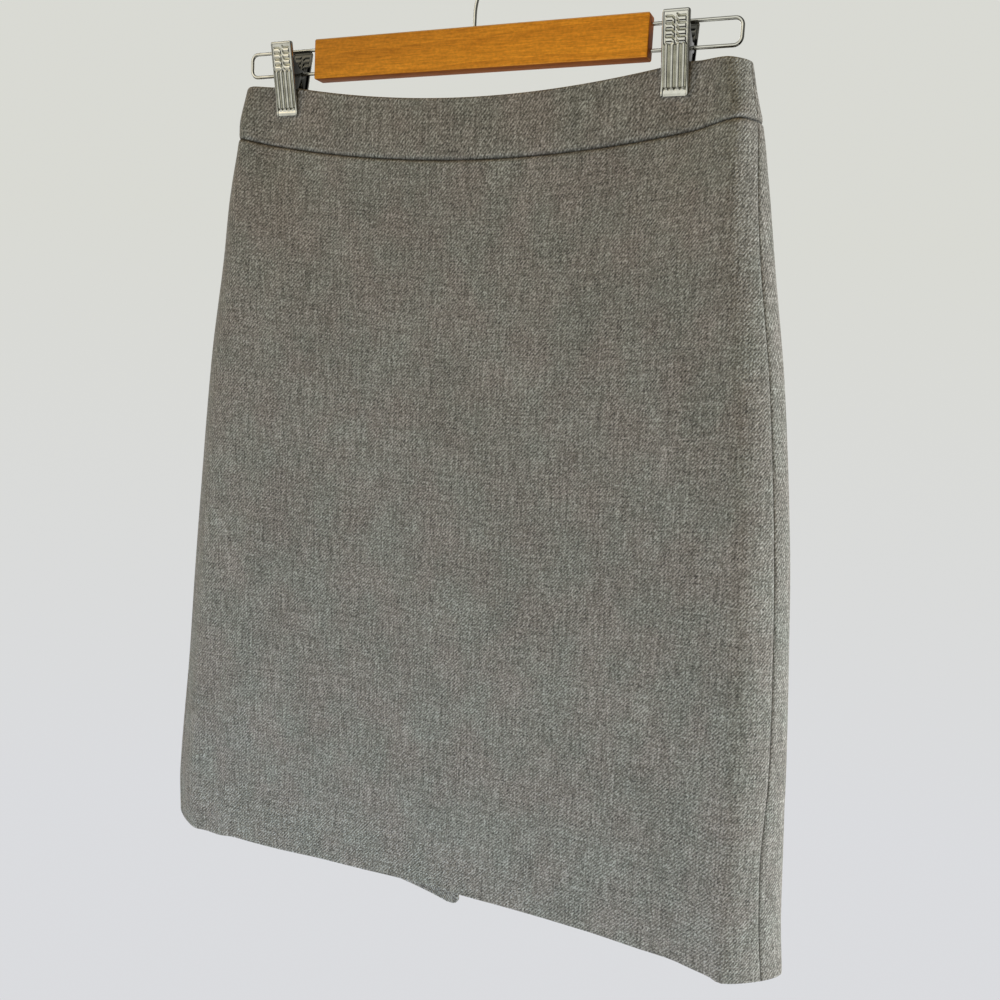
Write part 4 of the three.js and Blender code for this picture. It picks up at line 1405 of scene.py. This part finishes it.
# Relief of a clip's plate, in millimetres from its top edge or its middle
PLATE_COLUMNS = 77
PLATE_ROWS = 205
RIM = {"width": 1.25, "height": 0.45, "inner": 0.5, "ease": 0.6}
FLUTE = {
    "count": 4, "pitch": 3.75, "half": 1.25, "top": 19.6, "end": 46.6, "height": 0.95,
    "top_ease": 1.3, "end_ease": 0.9, "groove": 0.5, "groove_half": 0.5, "groove_in": 0.9,
    "pit": 0.75, "pit_half": 0.55, "pit_below": 0.1, "pit_tall": 0.6,
}
LOUVRE = {
    "rows": 4, "first": 4.4, "pitch": 3.95, "half": 2.9, "aside": 3.5, "rise": 0.7,
    "power": 0.7, "end": 0.35, "end_ease": 0.7, "slant": 1.1, "slant_off": 0.9,
    "slant_ease": 1.9, "slit": 0.7, "slit_half": 0.32, "slit_off": 0.3,
}
LIP = {"from": 47.9, "height": 0.3, "ease": 1.4}
PLATE_TALL = JAW_ABOVE + JAW_BELOW
PLATE_HALF = JAW_WIDTH / 2
PLATE_CORNER = 1.9
PLATE_LOW_CORNER = 0.7
# The turn of the plate's sides to the back, which is slight towards the grip, and its inner face
PLATE_TURN = 1.5
PLATE_TURN_REACH = 1.3
PLATE_TURN_LOW = 0.25
PLATE_TURN_FADES = 16
PLATE_TURN_EASE = 14
INNER_NARROWER = 0.985
INNER_RELIEF = 0.5


def furrow(off, half):
    """The depth of a soft furrow, 1 at its middle"""
    return np.exp(-((off / half) ** 2))


def plate_relief(x, down):
    """How far the stamped plate stands out, by the place across it and down from its top"""
    to_rim = np.minimum(PLATE_HALF - np.abs(x), down)
    out = RIM["height"] * ease((RIM["width"] + RIM["inner"] - to_rim) / RIM["ease"])
    starts = ease((down - FLUTE["top"]) / FLUTE["top_ease"])
    ends = starts * ease((FLUTE["end"] - down) / FLUTE["end_ease"])
    middle = (FLUTE["count"] - 1) / 2
    for k in range(FLUTE["count"]):
        off = (x - (k - middle) * FLUTE["pitch"]) / FLUTE["half"]
        out = out + ends * FLUTE["height"] * np.sqrt(np.clip(1 - off**2, 0, 1))
    for k in range(FLUTE["count"] + 1):
        groove = (k - middle - 0.5) * FLUTE["pitch"]
        if k in (0, FLUTE["count"]):
            groove = np.sign(groove) * (PLATE_HALF - RIM["width"] - FLUTE["groove_in"])
        off = x - groove
        out = out - FLUTE["groove"] * ends * furrow(off, FLUTE["groove_half"])
        low = furrow(down - FLUTE["end"] - FLUTE["pit_below"], FLUTE["pit_tall"])
        out = out - FLUTE["pit"] * furrow(off, FLUTE["pit_half"]) * low
    for k in range(LOUVRE["rows"]):
        for side in (-1, 1):
            from_mid = x - side * LOUVRE["aside"]
            inwards = ease((-side * from_mid - LOUVRE["slant_off"]) / LOUVRE["slant_ease"])
            slant = side * LOUVRE["slant"] * inwards
            slit = LOUVRE["first"] + k * LOUVRE["pitch"] - slant
            to_end = LOUVRE["half"] + LOUVRE["end"] - np.abs(from_mid)
            width = ease(to_end / LOUVRE["end_ease"])
            dome = (down - slit - LOUVRE["slit_off"]) / (LOUVRE["pitch"] - 2 * LOUVRE["slit_off"])
            rise = np.sin(math.pi * np.clip(dome, 0, 1)) ** LOUVRE["power"]
            out = out + width * LOUVRE["rise"] * rise
            out = out - width * LOUVRE["slit"] * furrow(down - slit, LOUVRE["slit_half"])
    return out + ease((down - LIP["from"]) / LIP["ease"]) * LIP["height"]


def plate_mesh(name):
    """The stamped plate of a jaw in the jaw's own frame"""
    t = np.linspace(-1, 1, PLATE_COLUMNS)
    down = np.linspace(0, PLATE_TALL, PLATE_ROWS)[:, None]
    top = np.clip(1 - down / PLATE_CORNER, 0, 1)
    low = np.clip(1 - (PLATE_TALL - down) / PLATE_LOW_CORNER, 0, 1)
    narrowed = PLATE_HALF - PLATE_CORNER * (1 - np.sqrt(1 - top**2))
    narrowed = narrowed - PLATE_LOW_CORNER * (1 - np.sqrt(1 - low**2))
    x = t[None, :] * narrowed
    relief = plate_relief(x, down)
    to_side = np.minimum(narrowed - np.abs(x), down)
    fade = ease((down - PLATE_TALL + PLATE_TURN_FADES) / PLATE_TURN_EASE)
    turn = PLATE_TURN * lerp(1, PLATE_TURN_LOW, fade)
    near = np.clip(1 - to_side / PLATE_TURN_REACH, 0, 1)
    back = turn * (1 - np.sqrt(1 - near**2 * 0.999))
    z = JAW_ABOVE - down + 0 * x
    outer = np.stack([x, back - JAW_FACE - relief, z], axis=2)
    inner_y = back - JAW_FACE + JAW_SHEET - INNER_RELIEF * relief
    inner = np.stack([x * INNER_NARROWER, inner_y, z], axis=2)
    # The plate's outer face is marked so that it is left out of the clip's painted inner shade
    return shell_mesh(name, outer, inner, mark=np.ones_like(x), marked="outer_plate_face")


EAR = {"round": 3.2, "neck": 2.0, "low": -15.0, "high": 12.0}
EAR_HOLE_R = WIRE_R + 0.3
EAR_EDGE = 0.12
EAR_MERGED = 0.002
# Where an ear's round nose starts and ends, in half turns
NOSE_START = -0.6
NOSE_END = -1.4
# An ear's outline is drawn flat. Its first axis points to the plate, which is -Y, its second up
EAR_STANDS = Matrix(((0, 0, 1, 0), (-1, 0, 0, 0), (0, 1, 0, 0), (0, 0, 0, 1)))


def ring_of(radius, first, last, steps, closed=False):
    """Places round a flat ring, from one number of half turns to another"""
    turns = np.linspace(first * math.pi, last * math.pi, steps, endpoint=not closed)
    return [(radius * math.cos(a), radius * math.sin(a)) for a in turns]


def ear_mesh(x):
    """One ear of a jaw, from its plate to the lower wire, with a hole for the wire"""
    plate = JAW_FACE - JAW_SHEET / 2
    r, neck = EAR["round"], EAR["neck"]
    nose = ring_of(r, NOSE_START, NOSE_END, 17)
    outline = [(plate, EAR["low"]), (neck, -r), *nose, (neck, r), (plate, EAR["high"])]
    hole = ring_of(EAR_HOLE_R, 0, 2, 24, closed=True)
    curve = bpy.data.curves.new("ear", "CURVE")
    curve.dimensions = "2D"
    curve.fill_mode = "BOTH"
    curve.extrude = (EAR_SHEET / 2 - EAR_EDGE) * MM
    curve.bevel_depth = EAR_EDGE * MM
    curve.bevel_resolution = 1
    for ring in (outline, hole):
        spline = curve.splines.new("POLY")
        spline.points.add(len(ring) - 1)
        spline.use_cyclic_u = True
        for point, (u, v) in zip(spline.points, ring):
            point.co = (u * MM, v * MM, 0, 1)
    holder = bpy.data.objects.new("ear", curve)
    bpy.context.scene.collection.objects.link(holder)
    graph = bpy.context.evaluated_depsgraph_get()
    mesh = bpy.data.meshes.new_from_object(holder.evaluated_get(graph))
    bpy.data.objects.remove(holder)
    bpy.data.curves.remove(curve)
    mesh.transform(Matrix.Translation((x * MM, 0, 0)) @ EAR_STANDS)
    work = bmesh.new()
    work.from_mesh(mesh)
    bmesh.ops.remove_doubles(work, verts=work.verts, dist=EAR_MERGED * MM)
    bmesh.ops.recalc_face_normals(work, faces=work.faces)
    work.to_mesh(mesh)
    work.free()
    return mesh


def spring_path():
    """The coil round the lower wire and its two legs under the levers"""
    gap = JAW_FACE - JAW_SHEET - SPRING_WIRE_R - SPRING_CLEAR
    leg_y = (gap + SPRING_LEG * math.sin(JAW_TILT)) / math.cos(JAW_TILT)
    touch = math.atan2(SPRING_LEG, leg_y) + math.acos(SPRING_R / math.hypot(leg_y, SPRING_LEG))
    turns = SPRING_TURNS + (math.pi - 2 * touch) / (2 * math.pi)
    coil = []
    for t in np.linspace(0, 1, SPRING_STEPS):
        a = touch + t * turns * 2 * math.pi
        y, z = SPRING_R * math.cos(a), SPRING_R * math.sin(a)
        coil.append((lerp(-SPRING_HALF, SPRING_HALF, t), y, z))
    first = straight((coil[0][0], leg_y, SPRING_LEG), coil[0], 5)
    last = straight(coil[-1], (coil[-1][0], -leg_y, SPRING_LEG), 5)[1:]
    return first + coil + last + [(coil[-1][0], -leg_y, SPRING_LEG)]


class HANGER_OT_clips(bpy.types.Operator):
    """Builds the two clips: stamped jaws with ears, and their springs"""

    bl_idname = "clip_hanger.clips"
    bl_label = "Clips"

    def execute(self, context):
        tilt = Matrix.Rotation(JAW_TILT, 4, "X")
        facings = (
            ("front", tilt, 0.0),
            ("back", Matrix.Rotation(math.pi, 4, "Z") @ tilt, EAR_SHEET + EAR_PLAY),
        )
        for side, x in (("right", CLIP_RIGHT_X), ("left", CLIP_LEFT_X)):
            pivot = Matrix.Translation((x * MM, 0, CLIP_Z * MM))
            for facing, turn, ear_in in facings:
                node = f"clip_{side}_{facing}_jaw"
                ear_x = JAW_WIDTH / 2 - ear_in - EAR_SHEET / 2
                mesh = joined_mesh(node, plate_mesh(node), ear_mesh(ear_x), ear_mesh(-ear_x))
                mesh.transform(pivot @ turn)
                obj = new_object(node + "_plate", mesh, plated_steel("clip_steel"))
                placed(obj, node)
            node = f"clip_{side}_spring"
            steel = plated_steel("spring_steel")
            mesh = wire_mesh(node, spring_path(), SPRING_WIRE_R, steel)
            mesh.transform(pivot)
            placed(new_object(node + "_wire", mesh, steel), node)
        return {"FINISHED"}


# The camera as it was fitted to the photograph, and the stage
CAMERA_PLACE = (0.304778, -0.659836, -0.298594)
CAMERA_YAW = 0.38551
CAMERA_PITCH = 0.14013
CAMERA_ROLL = 0.0519
CAMERA_LENS = 35.994

PART_MIDDLE = (0, 0, -0.5)
# Soft lamps: name, place, aim, width and height in metres, power or None for the key light's,
# colour, and whether bright metal mirrors the lamp
LAMPS = (
    ("front", (-0.2, -0.8, -1.15), (0, 0, -0.62), 0.8, 0.6, None, (0.45, 0.69, 1.0), False),
    ("low_sky", (0.178, -1.267, -1.069), PART_MIDDLE, 0.9, 0.7, 5.5, (0.77, 0.93, 0.95), False),
    ("window", (-1.049, -0.82, -0.933), PART_MIDDLE, 0.8, 0.8, 1.3, (1.0, 0.95, 0.85), True),
    ("lamp", (-0.835, -0.995, 0.45), (0, 0, -0.3), 0.9, 0.9, 1.6, (1.0, 0.82, 0.55), True),
    ("wall_bounce", (1.422, 0.35, -0.72), (0.2, 0, -0.45), 0.6, 0.9, 29, (0.759, 0.893, 1), False),
    ("back_window", (-0.9, 1.5, 0.3), PART_MIDDLE, 1.1, 1.2, 7.0, (1.0, 0.99, 0.97), True),
)


def soft_light(name, place, aim, width, height, power, colour, mirrored):
    """A soft rectangular lamp"""
    lamp = bpy.data.lights.new(name, "AREA")
    lamp.shape = "RECTANGLE"
    lamp.size, lamp.size_y = width, height
    lamp.energy = power
    lamp.color = colour
    obj = bpy.data.objects.new(name, lamp)
    obj.location = place
    obj.rotation_mode = "QUATERNION"
    obj.rotation_quaternion = (Vector(aim) - Vector(place)).to_track_quat("-Z", "Y")
    obj.visible_glossy = mirrored
    bpy.context.scene.collection.objects.link(obj)


def add_camera():
    """The camera at the photograph's viewing angle"""
    yaw, pitch, roll = CAMERA_YAW, CAMERA_PITCH, CAMERA_ROLL
    forward = Vector((
        -math.sin(yaw) * math.cos(pitch), math.cos(yaw) * math.cos(pitch), -math.sin(pitch),
    ))
    level = Vector((math.cos(yaw), math.sin(yaw), 0))
    over = level.cross(forward)
    right = level * math.cos(roll) + over * math.sin(roll)
    up = over * math.cos(roll) - level * math.sin(roll)
    lens = bpy.data.cameras.new("photo_camera")
    lens.sensor_width = 36
    lens.lens = CAMERA_LENS
    lens.clip_start, lens.clip_end = 0.01, 100
    camera = bpy.data.objects.new("photo_camera", lens)
    bpy.context.scene.collection.objects.link(camera)
    axes = Matrix((right, up, -forward)).transposed().to_4x4()
    camera.matrix_world = Matrix.Translation(CAMERA_PLACE) @ axes
    bpy.context.scene.camera = camera


# What bright metal mirrors: its brightness round the part, from the back by the left to the
# back again, as shares of a turn, and from below to above
MIRRORED_ROUND = (
    (0, 0.8), (0.12, 0.7), (0.26, 0.22), (0.31, 0.95), (0.42, 1.05), (0.47, 1.35), (0.51, 1.3),
    (0.55, 0.22), (0.68, 0.1), (0.8, 0.16), (0.9, 0.3), (1, 0.8),
)
MIRRORED_HEIGHT = ((0.31, 0.03), (0.44, 1), (0.72, 1), (0.9, 0.45))
# The light that comes from the front and sides and from behind, and the background's tint
# from below to above
LIGHT_BEFORE = (0.364, 0.27, 0.122)
LIGHT_BEHIND = (1.0, 0.94, 0.816)
WALL_TINT = ((0.3, (1, 1, 1)), (0.56, (0.986, 0.981, 0.89)))


def light_room(stage):
    """A pale background, warm light from all round and from the wall behind"""
    world = bpy.data.worlds.new("pale_room")
    world.use_nodes = True
    bpy.context.scene.world = world
    n = Nodes(world.node_tree)
    way = n.add("ShaderNodeTexCoord").outputs["Generated"]
    apart = n.add("ShaderNodeSeparateXYZ", {"Vector": way}).outputs
    behind = n.math("MAXIMUM", apart["Y"], 0.0)
    room = n.mixed("MIX", behind, rgba(LIGHT_BEFORE), rgba(LIGHT_BEHIND))
    height = n.math("MULTIPLY_ADD", apart["Z"], 0.5, 0.5)
    turn = n.math("ARCTAN2", apart["X"], n.math("MULTIPLY", apart["Y"], -1))
    around = n.math("MULTIPLY_ADD", turn, 1 / (2 * math.pi), 0.5)
    mirrored = n.mixed(
        "MULTIPLY", 1.0,
        n.ramp(around, [(at, grey(value)) for at, value in MIRRORED_ROUND]),
        n.ramp(height, [(at, grey(value)) for at, value in MIRRORED_HEIGHT]),
    )
    rays = n.add("ShaderNodeLightPath").outputs
    room = n.mixed("MIX", rays["Is Glossy Ray"], room, mirrored)
    lit = n.add("ShaderNodeBackground", {"Color": room, "Strength": stage.room_light}).outputs[0]
    wall = n.mixed("MULTIPLY", 1.0, rgba(stage.wall), n.ramp(height, WALL_TINT))
    seen = n.add("ShaderNodeBackground", {"Color": wall}).outputs[0]
    both = n.add("ShaderNodeMixShader", {0: rays["Is Camera Ray"], 1: lit, 2: seen}).outputs[0]
    n.add("ShaderNodeOutputWorld", {"Surface": both})


FLOOR_Z = -1.9
FLOOR_RADIUS = 1.5


def add_floor(stage):
    """A plain pale floor far below the hem, as even as the background"""
    work = bmesh.new()
    bmesh.ops.create_circle(work, cap_ends=True, segments=96, radius=FLOOR_RADIUS)
    bmesh.ops.translate(work, vec=(0, 0, FLOOR_Z), verts=work.verts)
    mesh = mesh_of("floor", work)
    mat, n = new_paint("floor_paint")
    n.surface({
        "Base Color": (0, 0, 0, 1), "Specular IOR Level": 0.0,
        "Emission Color": rgba(stage.wall), "Emission Strength": 1.0,
    })
    new_object("floor", mesh, mat)


class STAGE_OT_build(bpy.types.Operator):
    """Sets the camera, the pale room, its soft lights and a plain floor"""

    bl_idname = "stage.build"
    bl_label = "Stage"

    def execute(self, context):
        stage = context.scene.skirt_stage
        add_camera()
        light_room(stage)
        add_floor(stage)
        context.scene.view_settings.view_transform = "Standard"
        for name, place, aim, width, height, power, colour, mirrored in LAMPS:
            power = stage.key_power if power is None else power
            soft_light(name, place, aim, width, height, power, colour, mirrored)
        return {"FINISHED"}


STEPS = (
    SKIRT_OT_waistband,
    SKIRT_OT_front_panel,
    SKIRT_OT_back_panels,
    SKIRT_OT_hem_stitches,
    SKIRT_OT_zip,
    HANGER_OT_bar,
    HANGER_OT_wires,
    HANGER_OT_clips,
    STAGE_OT_build,
)


class VIEW3D_PT_skirt(bpy.types.Panel):
    """Lists the settings and the pieces"""

    bl_label = "Pencil Skirt"
    bl_space_type = "VIEW_3D"
    bl_region_type = "UI"
    bl_category = "Skirt"

    def draw(self, context):
        for title, settings in (
            ("Cloth", context.scene.skirt_cloth),
            ("Hanger", context.scene.clip_hanger),
            ("Stage", context.scene.skirt_stage),
        ):
            box = self.layout.box()
            box.label(text=title)
            for key in settings.__annotations__:
                box.prop(settings, key)
        for step in STEPS:
            self.layout.operator(step.bl_idname)


SETTINGS = (
    ("skirt_cloth", ClothSettings),
    ("clip_hanger", HangerSettings),
    ("skirt_stage", StageSettings),
)


def register():
    """Registers the settings, the operators and the panel"""
    for name, group in SETTINGS:
        bpy.utils.register_class(group)
        setattr(bpy.types.Scene, name, PointerProperty(type=group))
    for step in (*STEPS, VIEW3D_PT_skirt):
        bpy.utils.register_class(step)


def unregister():
    """Takes all of them out again"""
    for step in reversed((*STEPS, VIEW3D_PT_skirt)):
        bpy.utils.unregister_class(step)
    for name, group in reversed(SETTINGS):
        delattr(bpy.types.Scene, name)
        bpy.utils.unregister_class(group)


def main():
    """Builds the pieces and the stage"""
    register()
    for step in STEPS:
        space, name = step.bl_idname.split(".")
        getattr(getattr(bpy.ops, space), name)()


if __name__ == "__main__":
    main()
